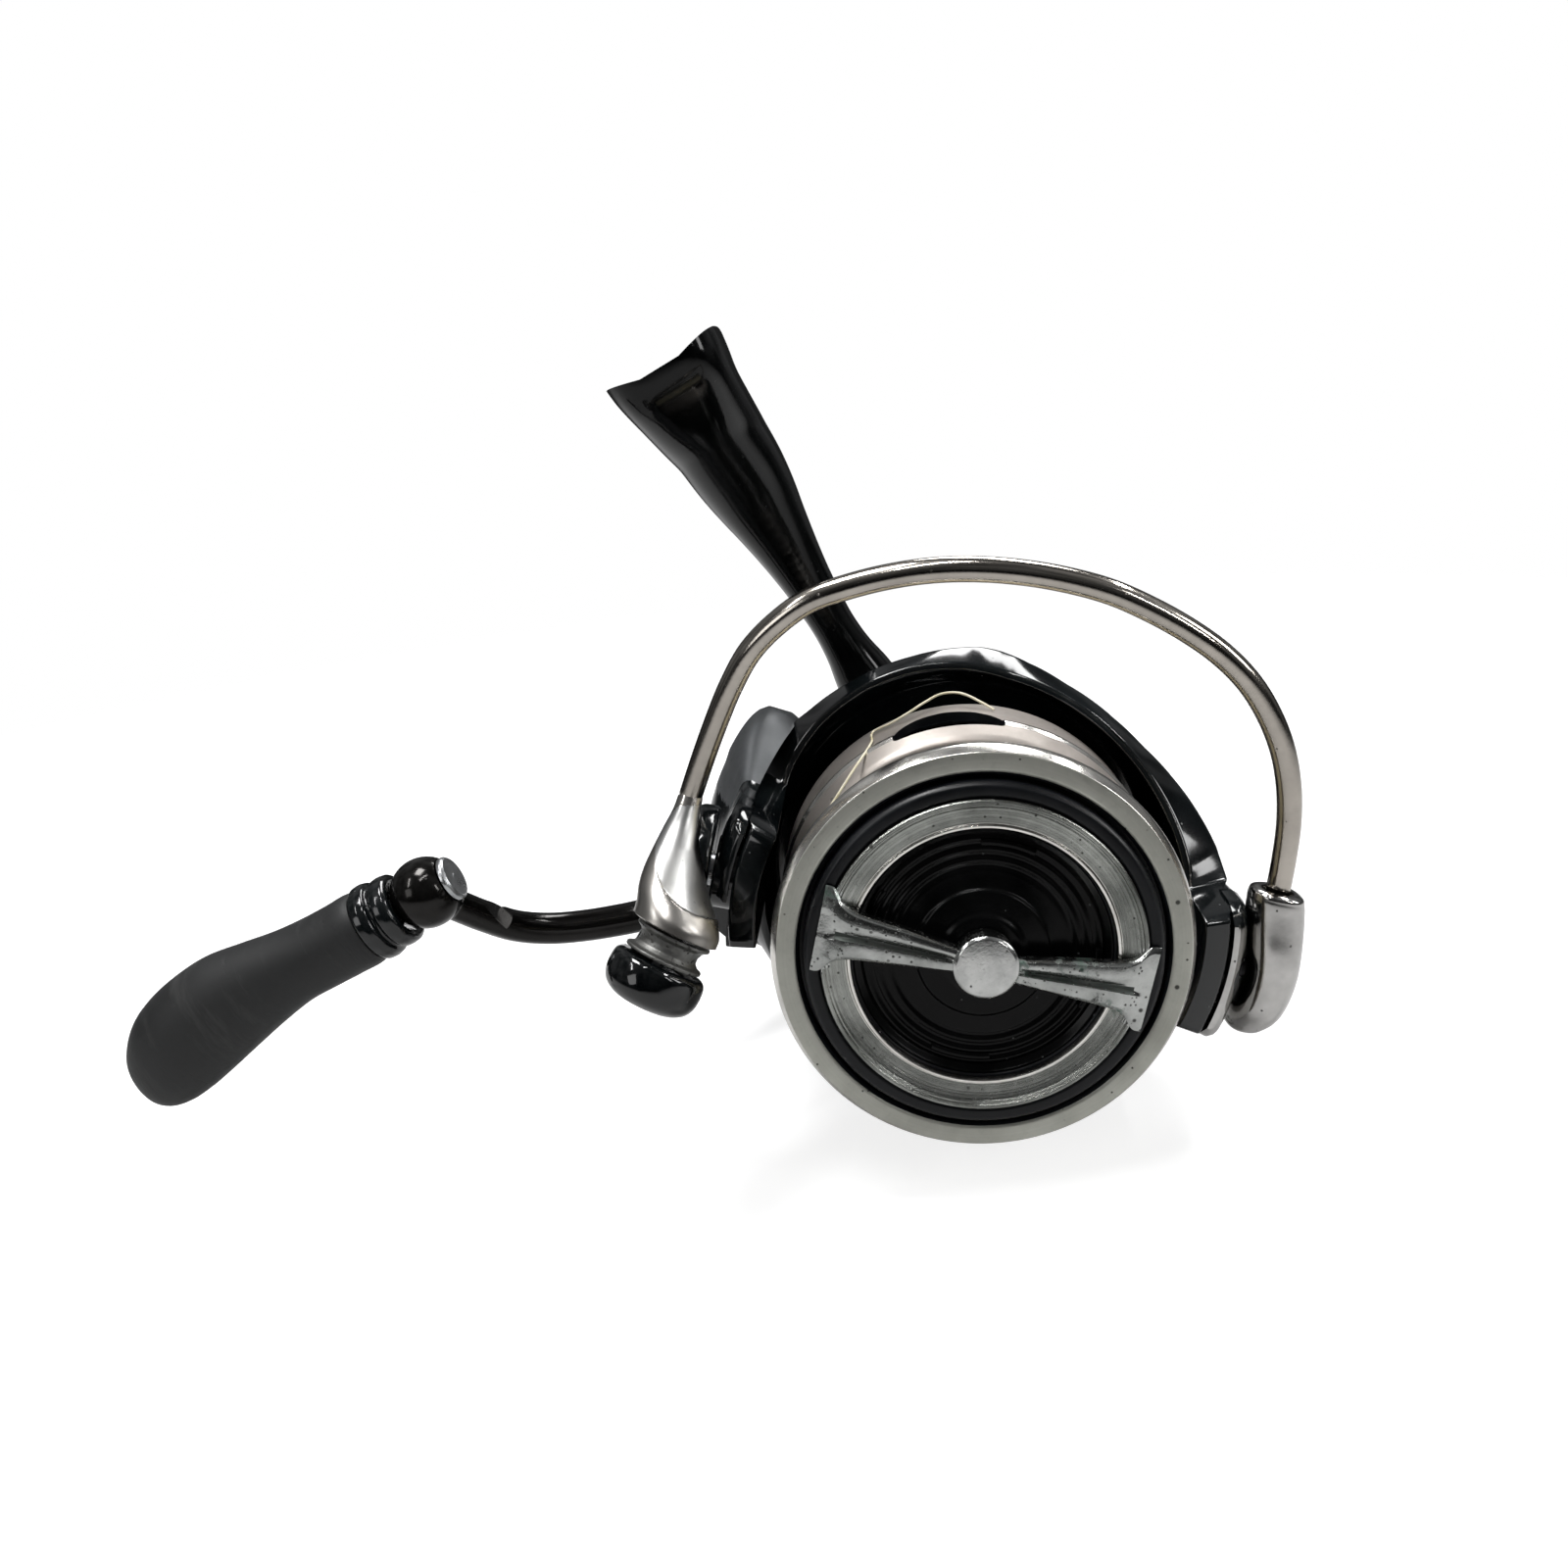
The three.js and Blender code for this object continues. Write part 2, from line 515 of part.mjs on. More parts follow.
function rotor() {
  const mirrored = HALF_TURN.flatMap((angle) => [angle, (360 - angle) % 360]);
  const angles = [...new Set(mirrored)].sort((p, q) => p - q);
  return cut(
    join(
      solid(shell(angles, rotorSection, true)),
      solid(washer(19.0, 20.6, LIP_Y + 21.0, -23.6, 28)),
      xRod(4.2, 27.3, 30.5, BAIL_PIVOT_Y, 0, 18),
      xRod(4.2, -31.0, -27.3, BAIL_PIVOT_Y, 0, 18),
    ),
    xRod(1.3, 27.2, 32, BAIL_PIVOT_Y, 0, 12),
    xRod(2.2, -33, -27.4, BAIL_PIVOT_Y, 0, 14),
    block([-30, -26.2], [-37, -26.5], [-1.3, 1.3]), // pocket for the bail spring
  );
}

// Cover on the outside of an arm: thin at the front, a wedge behind. Side is the sign of x.
function armCover(side) {
  const rings = ARM_COVER.map(([y, half, onHolder, onLever]) => {
    const thickness = side < 0 ? onLever : onHolder;
    // below the arm on the lever side the cover leaves room for the opening lever
    const low = side < 0 && y < -25 ? Math.max(-half, -4) : -half;
    const steps = Array.from({ length: 9 }, (_, k) => mix(low, half, k / 8));
    const at = (r, angle) =>
      vector(side * r * Math.cos(radians(angle)), y, r * Math.sin(radians(angle)));
    const base = (angle) =>
      lookUp(OUTSIDE, y)[0] + 0.4 + (Math.abs(angle) > 15 ? 0.25 : 0) +
      0.6 * Math.max(0, (y + 30) / 10);
    const bulge = (angle) => {
      const fall = Math.sqrt(Math.max(0, 1 - Math.abs(angle / (half + 0.6)) ** 4));
      return Math.max(0.45, thickness * fall);
    };
    return [
      ...steps.map((angle) => at(base(angle) + bulge(angle), angle)),
      ...steps.map((angle) => at(base(angle), angle)).reverse(),
    ];
  });
  return cut(solid(loft(rings)), xRod(4.6, side * 26, side * 40, BAIL_PIVOT_Y, 0, 18));
}
const rotorNut = () => cut(yRod(6.3, -26.7, -24.3, 0, 0, 6), yRod(3.7, -28, -23, 0, 0, 12));
const bailSpring = () => helix(4, 0.72, 2.1, 0.22, 8).translate(-27.35, -36.0, 0);

piece("rotor", rotor(), "gloss_black", rotorFrame);
piece("rotor_nut", rotorNut(), "steel", rotorFrame);
piece("lever_arm_cover", armCover(-1), "silver_cover", rotorFrame);
piece("holder_arm_cover", armCover(1), "silver_cover", rotorFrame);
piece("bail_spring", bailSpring(), "steel", rotorFrame);

// ---------- bail: lever, cone, wire, holder ----------
const lipPoint = (x, behind, z) => vector(x, LIP_Y + behind, z);
const WIRE = [ // x, distance from the pivot line in the plane of the wire
  [-35.12, 9.9], [-34.43, 14.48], [-33.59, 19.25], [-32.63, 23.97], [-31.08, 28.59],
  [-28.5, 32.7], [-25.6, 35.7], [-22, 38.0], [-17.7, 40.0], [-13.2, 41.5], [-8.5, 42.5],
  [-3.7, 43.0], [1.1, 42.95], [5.8, 42.3], [10.4, 41.2], [14.7, 39.6], [18.7, 37.5],
  [22.2, 34.8], [25.3, 31.5], [27.9, 27.6], [29.8, 23.4], [31.15, 19.0], [32.1, 14.3],
  [32.75, 10.95],
];
const CONE = [ // x, y behind the lip, z, two half sizes
  [-35.2, 8.8, 7.0, 1.75, 1.7], [-35.15, 8.1, 5.2, 2.35, 2.2], [-34.95, 6.5, 2.6, 3.3, 3.1],
  [-34.6, 4.6, 0.2, 4.2, 4.05], [-34.2, 2.8, -1.9, 4.95, 4.85],
];
const LEVER_ARM = [ // centre x, y behind the lip, z; half x, half length, power; slope y, z
  [-32.9, 12.2, 0.5, 1.3, 6.4, 3, 0.86, -0.35], [-33.4, 11.6, -3.0, 1.5, 6.2, 3, 0.85, -0.42],
  [-34.6, 10.2, -6.2, 1.7, 5.6, 3, 0.8, -0.5], [-36.1, 8.0, -8.4, 2.0, 4.9, 3, 0.75, -0.6],
  [-36.6, 5.2, -10.2, 2.5, 4.3, 2.6, 0.7, -0.62],
  [-35.9, 2.4, -11.0, 2.6, 3.6, 2.4, 0.7, -0.62],
];
const HOLDER = [ // z, centre x, centre y behind the lip, half x, half y
  [9.9, 32.85, 9.6, 2.7, 2.9], [9.2, 33.0, 9.75, 3.1, 3.4], [6.6, 33.6, 10.4, 3.2, 4.2],
  [4.0, 34.1, 11.0, 3.2, 5.0], [1.3, 34.5, 11.6, 3.15, 5.6], [-2.2, 34.55, 12.1, 3.0, 5.6],
  [-4.4, 34.3, 12.4, 2.8, 5.1], [-6.0, 34.0, 12.7, 2.3, 4.1], [-7.2, 33.55, 12.8, 1.2, 2.4],
];
const LINE_ROLLER = [ // radius, distance from the cone's base
  [2.9, 0.35], [4.35, 0.35], [4.35, 0.7], [3.5, 1.5], [3.5, 2.4], [4.45, 3.0],
  [4.45, 3.35], [2.9, 3.35],
];
const ROLLER_CAP = [ // radius, distance from the cone's base
  [0, 3.75], [4.9, 3.75], [5.5, 4.4], [5.6, 5.6], [5.3, 7.3], [3.9, 8.6], [1.6, 9.1], [0, 9.1],
];
const LEVER_DISC = [[0, -34.3], [7.0, -34.3], [7.5, -33.7], [7.5, -31.5], [0, -31.5]]; // r, x

// The roller axis runs from the cone's base outwards.
const rollerAxis = vector(-0.26, -0.25, -0.93).normalize();
const coneBase = lipPoint(-33.85, 1.0, -4.3);
const discAcross = vector(1, 0, 0).addScaledVector(rollerAxis, -rollerAxis.x).normalize();
const discUp = new THREE.Vector3().crossVectors(rollerAxis, discAcross);
const rollerPoint = (distance) => coneBase.clone().addScaledVector(rollerAxis, distance);
const disc = (centre, halfAcross, halfUp) =>
  superellipse(16, halfAcross, halfUp, 2, (s, t) =>
    centre.clone().addScaledVector(discAcross, s).addScaledVector(discUp, t));

// Puts a shape turned about Y on the roller axis.
function onRoller(geometry) {
  const third = new THREE.Vector3().crossVectors(discAcross, rollerAxis);
  const place = new THREE.Matrix4()
    .makeBasis(discAcross, rollerAxis, third)
    .setPosition(coneBase.clone().addScaledVector(discAcross, 0.2));
  return geometry.applyMatrix4(place);
}
function bailWire() {
  const lean = radians(BAIL_LEAN);
  const points = WIRE.map(([x, reach]) =>
    lipPoint(x, PIVOT_BACK - Math.cos(lean) * reach, Math.sin(lean) * reach));
  return bar(points, () => [WIRE_R, WIRE_R], vector(0, 1, 0.27));
}
const bailCone = (grown) =>
  loft([
    disc(lipPoint(-35.15, 9.4 + 0.2 * grown, 8.4 + grown), 1.45 + grown, 1.45 + grown),
    ...CONE.map(([x, behind, z, halfAcross, halfUp]) =>
      disc(lipPoint(x, behind, z), halfAcross + grown, halfUp + grown)),
    disc(rollerPoint(-1.5), 5.15 + grown, 5.1 + grown),
    disc(rollerPoint(grown), 4.9 + grown, 4.85 + grown),
  ]);
function bailLever() {
  const arm = loft(LEVER_ARM.map(([x, behind, z, halfX, halfLength, power, slopeY, slopeZ]) =>
    superellipse(14, halfX, halfLength, power, (s, t) =>
      lipPoint(x + s, behind + t * slopeY, z + t * slopeZ))));
  const lever = cut(
    join(
      solid(alongX(turned(LEVER_DISC, 24), BAIL_PIVOT_Y, 0)),
      solid(arm),
      solid(onRoller(turned(ROLLER_CAP, 18))),
    ),
    solid(bailCone(0.35)),
    solid(onRoller(rod(4.85, -0.6, 3.65, 18))), // room for the roller
    solid(onRoller(rod(1.2, 0, 8.1, 12))),
    xRod(2.3, -42, -30, BAIL_PIVOT_Y, 0, 14),
    xRod(3.0, -42, -33.3, BAIL_PIVOT_Y, 0, 16),
  );
  // the cuts leave loose slivers; only the largest part is the lever
  return lever.decompose().sort((p, q) => q.volume() - p.volume())[0];
}
const leverPivotScrew = () =>
  join(
    xRod(1.9, -33.9, -28.0, BAIL_PIVOT_Y, 0, 12),
    xRod(2.6, -34.3, -33.65, BAIL_PIVOT_Y, 0, 16),
  );
function bailHolder() {
  const rings = HOLDER.map(([z, x, behind, halfX, halfY]) =>
    superellipse(18, halfX, halfY, 2.5, (s, t) => lipPoint(x + s, behind + t, z)));
  return cut(solid(loft(rings)), xRod(1.3, 26, 34.4, BAIL_PIVOT_Y, 0, 14));
}

piece("bail_wire", bailWire(), "polished", rotorFrame);
piece("bail_cone", bailCone(0), "polished", rotorFrame);
piece("line_roller", onRoller(ring(LINE_ROLLER, 20)), "steel", rotorFrame);
piece("roller_bearing", onRoller(washer(1.4, 2.6, 0.5, 3.2)), "steel", rotorFrame);
piece("bail_lever", bailLever(), "gloss_black", rotorFrame);
piece("roller_screw", onRoller(rod(0.95, 0.35, 7.9, 12)), "steel", rotorFrame);
piece("lever_pivot_screw", leverPivotScrew(), "steel", rotorFrame);
piece("bail_holder", bailHolder(), "chrome", rotorFrame);
piece("holder_pivot_screw", xRod(1.0, 27.6, 34.1, BAIL_PIVOT_Y, 0, 12), "steel", rotorFrame);

// ---------- spool; profiles are [radius, y behind the lip plane] ----------
const behindLip = (profile) => profile.map(([r, y]) => [r, y + LIP_Y]);
const lipWasher = (inner, outer, front, rear, segments) =>
  washer(inner, outer, LIP_Y + front, LIP_Y + rear, segments);
const SPOOL = [
  [20.8, 0], [22.75, 0], [LIP_R, 1.4], [LIP_R, 2.4], [22.6, 3.2], [17.0, 4.3],
  [ARBOR_R, 4.8], [ARBOR_R, 12.7], [21.3, 14], [SKIRT_R, 16.6], [SKIRT_R, SKIRT_END],
  [21.8, SKIRT_END], [21.8, 17.9], [15.4, 15.4], [6.4, 15.4], [6.4, 17.0], [5.0, 17.0],
  [5.0, 13.4], [2.6, 13.4], [2.6, 11.9], [14.7, 11.9], [14.7, 1.9], [20.3, 1.9], [20.3, 0.5],
];
const SKIRT_WINDOW = [ // half moon, arched at the rear: x, y behind the lip plane
  [-6.75, 15.75], [6.75, 15.75], [5.6, 19.4], [3.4, 21.3], [0, 22.1], [-3.4, 21.3],
  [-5.6, 19.4],
];
const LINE_PACK = [[16.95, 5.2], [20.9, 5.2], [21.2, 8], [20.6, 12.4], [16.95, 12.4]];
const DRAG_STACK = [ // name, inner radius, front and rear behind the lip plane, finish
  ["felt_washer_rear", 2.2, 10.3, 11.6, "felt"], ["keyed_washer", 1.9, 9.2, 10.0, "steel"],
  ["felt_washer_front", 2.2, 7.6, 8.9, "felt"], ["eared_washer", 2.2, 6.5, 7.3, "steel"],
];
const CLIP = [[13.4, 5.4], [14.3, 5.4], [14.3, 6.1], [13.4, 6.1]];

function spool() {
  const windows = [0, 1, 2, 3].map((i) =>
    solid(extruded(SKIRT_WINDOW, 8)
      .translate(0, LIP_Y, 17.5)
      .rotateY(radians(21.5 + 90 * i))));
  return cut(solid(ring(behindLip(SPOOL), 30)), ...windows);
}
// Open ring with its gap at -X.
function washerClip() {
  const angles = Array.from({ length: 11 }, (_, i) => -150 + 30 * i);
  return shell(angles, () => behindLip(CLIP), false);
}

piece("spool", spool(), "lip_silver");
piece("line_pack", ring(behindLip(LINE_PACK), 28), "line");
piece("spool_bearing", lipWasher(2.0, 4.7, 13.7, 16.7), "steel");
piece("spool_seat", lipWasher(1.9, 5.6, 17.4, 18.3), "brass");
for (const [name, bore, front, rear, finish] of DRAG_STACK) {
  piece(name, lipWasher(bore, DRAG_WASHER_R, front, rear, 18), finish);
}
piece("washer_clip", washerClip(), "steel");

// ---------- drag knob; profiles are [radius, y behind the lip plane] ----------
const DRAG_KNOB = [
  [2.0, -0.25], [4.3, -0.25], [4.9, 0.2], [7.4, 0.6], [9.0, 1.05], [13.7, 1.05],
  [14.3, 0.25], [17.9, -0.45], [18.2, -0.8], [19.25, -0.85], [DRAG_KNOB_R, -0.3],
  [DRAG_KNOB_R, 1.5], [15.5, 1.6], [9.6, 2.0], [9.6, 4.4], [4.3, 4.4], [4.3, 1.9], [2.0, 1.9],
];
const TRIM_RING = [
  [14.5, -0.1], [14.6, -0.65], [15.1, -0.45], [16.95, -0.95], [17.85, -1.3],
  [17.95, -0.75], [15.0, -0.1],
];
const HUB_FRONT = -3.55;
const TRIM_HUB = [[0, -0.6], [3.4, -0.6], [3.7, -2.4], [3.7, HUB_FRONT], [0, HUB_FRONT]];
const KNOB_CAP = [[0, -3.65], [3.84, -3.65], [3.84, -3.85], [3.45, -4.2], [0, -4.2]];
const SPOKE = [ // distance from the axis, half width, rear y, front y
  [18.45, 5.05, -1.1, -1.5], [17.6, 4.05, -1.05, -1.7], [16.2, 3.0, -0.9, -2.15],
  [13.5, 2.6, -0.9, -2.65], [7.0, 1.85, -1.7, -3.35], [3.2, 1.35, -2.3, -3.75],
  [1.0, 1.2, -2.4, -3.75],
];
// Two ridges with a shallow valley between them.
const spoke = (side) =>
  solid(loft(SPOKE.map(([reach, half, rear, front]) => [
    [-half, rear], [half, rear], [half, front + 0.4], [half * 0.5, front],
    [0, front + 0.3], [-half * 0.5, front], [-half, front + 0.4],
  ].map(([z, y]) => lipPoint(side * reach, y, z)))));
const knobTrim = () =>
  cut(
    join(
      solid(ring(behindLip(TRIM_RING), 28)),
      spoke(1),
      spoke(-1),
      solid(turned(behindLip(TRIM_HUB), 20)),
    ),
    yRod(4.1, LIP_Y - 9, LIP_Y + HUB_FRONT, 0, 0, 20), // room for the cap
  );
const dragNut = () =>
  cut(yRod(3.6, LIP_Y + 2.1, LIP_Y + 3.1, 0, 0, 6), yRod(1.9, LIP_Y + 1, LIP_Y + 4, 0, 0, 12));

piece("drag_knob", ring(behindLip(DRAG_KNOB), 28), "satin_black");
piece("knob_trim", knobTrim(), "chrome", rotorFrame);
piece("knob_cap", turned(behindLip(KNOB_CAP), 24), "chrome", rotorFrame);
piece("drag_nut", dragNut(), "brass");
piece("drag_spring", helix(2, 3.1, 0.5, 0.2, 10).translate(0, LIP_Y + 3.45, 0), "steel");
piece("pressure_plate", lipWasher(2.2, 9.4, 4.75, 5.2, 20), "steel");

// ---------- handle; profiles are [radius, x] ----------
const HANDLE_ARM = [ // distance from the drive axis, x
  [0, -28.6], [4, -29.1], [9, -30.1], [15, -32.0], [22, -35.6], [27.2, -40.2],
  [29.9, -44.8], [32.6, -48.9], [36, -52.8], [40, -55.6], [45, -57.3], [50, -58.5],
  [53.5, -59.3],
];
const ARM_HUB = [[0, -24.7], [5.4, -24.7], [5.7, -26], [5.7, -31.0], [4.4, -32.4], [0, -32.6]];
const JOINT = [[2.2, -24.3], [6.0, -24.3], [6.3, -22.5], [6.3, -19.4], [5.6, -17.4], [2.2, -17.4]];
const GRIP = [ // x, half height, centre height, half thickness
  [-68.2, 4.7, 0, 4.7], [-72, 4.85, 0, 4.7], [-76, 4.85, 0.1, 4.6], [-80, 5.0, 0.3, 4.7],
  [-85, 5.8, 0.35, 5.1], [-90, 6.7, 0.2, 5.6], [-95, 7.1, -0.5, 5.9],
  [-99, 7.05, -1.3, 5.8], [-102.3, 6.45, -2.1, 5.2], [-104.7, 5.2, -2.8, 4.3],
  [-106.3, 3.4, -3.1, 2.8], [-107.2, 1.2, -3.2, 1.1],
];
const COLLAR = [
  [2.0, -64.7], [2.4, -64.2], [3.6, -63.1], [4.3, -62.95], [4.8, -64.2], [4.7, -65.2],
  [4.3, -65.5], [4.9, -66.0], [5.15, -66.8], [5.0, -67.9], [2.0, -67.9],
];

function armSizes(share) {
  if (share < 0.25) return [2.9, 2.6];
  return share < 0.8 ? [2.3, 2.2] : [2.0, 1.9];
}
function handleArm() {
  const points = HANDLE_ARM.map(([reach, x]) => vector(x, 0, reach));
  const ballProfile = Array.from({ length: 9 }, (_, k) => {
    const angle = (Math.PI * k) / 8;
    return [BALL_R * Math.sin(angle), -BALL_R * Math.cos(angle)];
  });
  const ball = alongX(turned(ballProfile, 16)).translate(BALL_X, 0, CRANK_LENGTH);
  // flats on the two ends of the ball
  const flat = (from, to) =>
    block([BALL_X + from, BALL_X + to], [-10, 10], [CRANK_LENGTH - 10, CRANK_LENGTH + 10]);
  return cut(
    join(
      solid(bar(points, armSizes, vector(0, 1, 0))),
      solid(alongX(turned(ARM_HUB, 20))),
      solid(ball),
    ),
    xRod(1.95, -70, -50, 0, CRANK_LENGTH, 12),
    flat(3.6, 10),
    flat(-10, -4.2),
  );
}
const knobSpindle = () =>
  join(
    xRod(2.9, BALL_X + 3.9, BALL_X + 4.4, 0, CRANK_LENGTH, 18),
    xRod(1.55, -96, BALL_X + 4.2, 0, CRANK_LENGTH, 12),
  );
function handleKnob() {
  const rings = GRIP.map(([x, halfHeight, centre, halfThickness]) =>
    superellipse(16, halfThickness, halfHeight, 2.3, (y, z) => vector(x, y, z + centre)));
  return cut(solid(loft(rings)), xRod(2.0, -97, -60, 0, 0, 12));
}

piece("handle_arm", handleArm(), "gunmetal", handleFrame);
piece("knob_spindle", knobSpindle(), "steel", handleFrame);
piece("handle_joint", alongX(ring(JOINT, 20)), "satin_black", handleFrame);
piece("handle_shank", xRod(1.75, -24.3, 9, 0, 0, 12), "steel", handleFrame);
piece("handle_knob", handleKnob(), "rubber", knobFrame);
piece("knob_collar", alongX(ring(COLLAR, 20)), "gloss_black", knobFrame);

export default root;
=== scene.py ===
import math
import bmesh
import bpy
import numpy as np
from mathutils import Matrix, Vector


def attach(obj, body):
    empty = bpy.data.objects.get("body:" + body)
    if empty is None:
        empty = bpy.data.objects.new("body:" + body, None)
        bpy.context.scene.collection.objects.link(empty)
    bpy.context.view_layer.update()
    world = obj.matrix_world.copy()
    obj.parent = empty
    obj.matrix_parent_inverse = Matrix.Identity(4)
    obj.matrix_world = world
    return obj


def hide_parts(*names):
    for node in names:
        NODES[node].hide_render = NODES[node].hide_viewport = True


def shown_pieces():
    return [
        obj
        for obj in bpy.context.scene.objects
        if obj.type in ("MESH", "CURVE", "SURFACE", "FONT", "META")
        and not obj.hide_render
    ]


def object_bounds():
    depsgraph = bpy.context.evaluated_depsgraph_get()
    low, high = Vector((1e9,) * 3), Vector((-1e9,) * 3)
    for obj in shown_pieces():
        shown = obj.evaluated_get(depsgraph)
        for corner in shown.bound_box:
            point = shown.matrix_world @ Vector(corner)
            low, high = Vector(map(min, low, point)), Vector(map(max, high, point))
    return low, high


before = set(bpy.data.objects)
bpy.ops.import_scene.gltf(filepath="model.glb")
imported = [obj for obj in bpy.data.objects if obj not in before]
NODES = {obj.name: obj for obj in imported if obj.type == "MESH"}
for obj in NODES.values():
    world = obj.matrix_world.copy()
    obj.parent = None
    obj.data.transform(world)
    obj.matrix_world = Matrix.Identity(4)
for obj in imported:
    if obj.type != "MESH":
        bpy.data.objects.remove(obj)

CAD_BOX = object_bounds()
cos, sin, rad = math.cos, math.sin, math.radians

# ------------------------------------------------------------------ dimensions, mm
LIP_Y = -58.0
ROTOR_TURN, CRANK_TURN = 40.5, 40.54
ARM_R, ARM_HALF, R_IN = 28.6, 15.0, 25.5
WIRE_R = 1.36
BAIL_LEAN = 75.0
PIVOT_Y = LIP_Y + 12


# ------------------------------------------------------------------ frames: mm in a local frame to metres in the row frame
def in_shaft(p):
    return (p + np.array([0, 13.0, -72.2])) / 1000


def in_rotor(p):
    c, s = cos(rad(ROTOR_TURN)), sin(rad(ROTOR_TURN))
    return in_shaft(np.stack([p[:, 0] * c + p[:, 2] * s, p[:, 1], -p[:, 0] * s + p[:, 2] * c], 1))


def in_crank(p):
    c, s = cos(rad(CRANK_TURN)), sin(rad(CRANK_TURN))
    return in_shaft(np.stack([p[:, 0], p[:, 1] * c - p[:, 2] * s, p[:, 1] * s + p[:, 2] * c - 8.5], 1))


def in_grip(p):
    return in_shaft(p + np.array([0, -35.6, 33.1]))


# ------------------------------------------------------------------ curves and tables
def spl(rows, x):
    """Smooth values of a table at x: rows are [key, v1, v2, ...] with rising keys."""
    r = np.array(rows, float)
    k, v = r[:, 0], r[:, 1:]
    x = np.clip(np.atleast_1d(np.asarray(x, float)), k[0], k[-1])
    d = np.diff(v, axis=0) / np.diff(k)[:, None]
    m = np.zeros_like(v)
    m[1:-1] = 0.5 * (d[:-1] + d[1:])
    m[0], m[-1] = d[0], d[-1]
    i = np.clip(np.searchsorted(k, x, side="right") - 1, 0, len(k) - 2)
    h = (k[i + 1] - k[i])
    t = ((x - k[i]) / h)[:, None]
    h = h[:, None]
    return ((2 * t**3 - 3 * t**2 + 1) * v[i] + (t**3 - 2 * t**2 + t) * h * m[i]
            + (-2 * t**3 + 3 * t**2) * v[i + 1] + (t**3 - t**2) * h * m[i + 1])


def lin(rows, x):
    r = np.array(rows, float)
    return np.stack([np.interp(np.atleast_1d(x), r[:, 0], r[:, c]) for c in range(1, r.shape[1])], 1)


def curve(points, n):
    """n points along a smooth line through the given ones, evenly spaced."""
    p = np.array(points, float)
    d = np.r_[0, np.cumsum(np.linalg.norm(np.diff(p, axis=0), axis=1))]
    fine = spl(np.c_[d, p], np.linspace(0, d[-1], n * 6))
    e = np.r_[0, np.cumsum(np.linalg.norm(np.diff(fine, axis=0), axis=1))]
    s = np.linspace(0, e[-1], n)
    return np.stack([np.interp(s, e, fine[:, k]) for k in range(p.shape[1])], 1)


def fillet(pts, r, closed=True, steps=4, keep=()):
    """Round the corners of a flat outline. keep lists corners left sharp."""
    p = [np.array(q, float) for q in pts]
    n, out = len(p), []
    for i in range(n):
        if (not closed and i in (0, n - 1)) or i in keep:
            out.append(p[i])
            continue
        a, b, c = p[i - 1], p[i], p[(i + 1) % n]
        la, lc = np.linalg.norm(a - b), np.linalg.norm(c - b)
        d = min(r if np.isscalar(r) else r[i], 0.46 * la, 0.46 * lc)
        d = max(d, 0.004)
        u, w = b + (a - b) / la * d, b + (c - b) / lc * d
        for t in np.linspace(0, 1, steps + 1):
            out.append((1 - t) ** 2 * u + 2 * t * (1 - t) * b + t * t * w)
    return out


# ------------------------------------------------------------------ meshes, in mm, before they are placed
def mesh_object(name, verts, faces):
    m = bpy.data.meshes.new(name)
    m.from_pydata([tuple(map(float, v)) for v in verts], [], [tuple(map(int, f)) for f in faces])
    m.validate()
    o = bpy.data.objects.new(name, m)
    bpy.context.scene.collection.objects.link(o)
    if volume(o) < 0:
        m.flip_normals()
    return o


def volume(o):
    m = o.data
    m.calc_loop_triangles()
    co = np.zeros(len(m.vertices) * 3)
    m.vertices.foreach_get("co", co)
    co = co.reshape(-1, 3)
    t = np.zeros(len(m.loop_triangles) * 3, int)
    m.loop_triangles.foreach_get("vertices", t)
    a, b, c = (co[t.reshape(-1, 3)[:, k]] for k in range(3))
    return float(np.einsum("ij,ij->i", a, np.cross(b, c)).sum() / 6)


def coords(o):
    co = np.zeros(len(o.data.vertices) * 3)
    o.data.vertices.foreach_get("co", co)
    return co.reshape(-1, 3)


def set_coords(o, co):
    o.data.vertices.foreach_set("co", np.asarray(co, float).ravel())
    o.data.update()


def lathe(name, profile, n=96, wave=None):
    """Turned about Y. A profile that starts and ends on the axis is closed there, any other is joined to itself."""
    p = [(float(r), float(y)) for r, y in profile]
    pole = p[0][0] < 1e-6 and p[-1][0] < 1e-6
    ang = np.linspace(0, 2 * math.pi, n, endpoint=False)
    V, F = [], []
    if pole:
        inner = p[1:-1]
    else:
        inner = p
    for r, y in inner:
        for a in ang:
            k = 1.0 if wave is None else wave(r, y, a)
            V.append((r * k * cos(a), y, r * k * sin(a)))
    m = len(inner)
    for i in range(m - 1 if pole else m):
        j = (i + 1) % m
        for k in range(n):
            q = (k + 1) % n
            F.append((i * n + k, i * n + q, j * n + q, j * n + k))
    if pole:
        for row, y in ((0, p[0][1]), (m - 1, p[-1][1])):
            c = len(V)
            V.append((0, y, 0))
            for k in range(n):
                q = (k + 1) % n
                F.append((row * n + q, row * n + k, c) if row == 0 else (row * n + k, row * n + q, c))
    return mesh_object(name, V, F)


def loft(name, rings, cap=True):
    rings = [np.asarray(r, float) for r in rings]
    n, V, F = len(rings[0]), [], []
    for r in rings:
        V.extend(r)
    for i in range(len(rings) - 1):
        for k in range(n):
            q = (k + 1) % n
            F.append((i * n + k, i * n + q, (i + 1) * n + q, (i + 1) * n + k))
    if cap:
        for row in (0, len(rings) - 1):
            c = len(V)
            V.append(rings[row].mean(0))
            for k in range(n):
                q = (k + 1) % n
                F.append((row * n + q, row * n + k, c) if row == 0 else (row * n + k, row * n + q, c))
    return mesh_object(name, V, F)


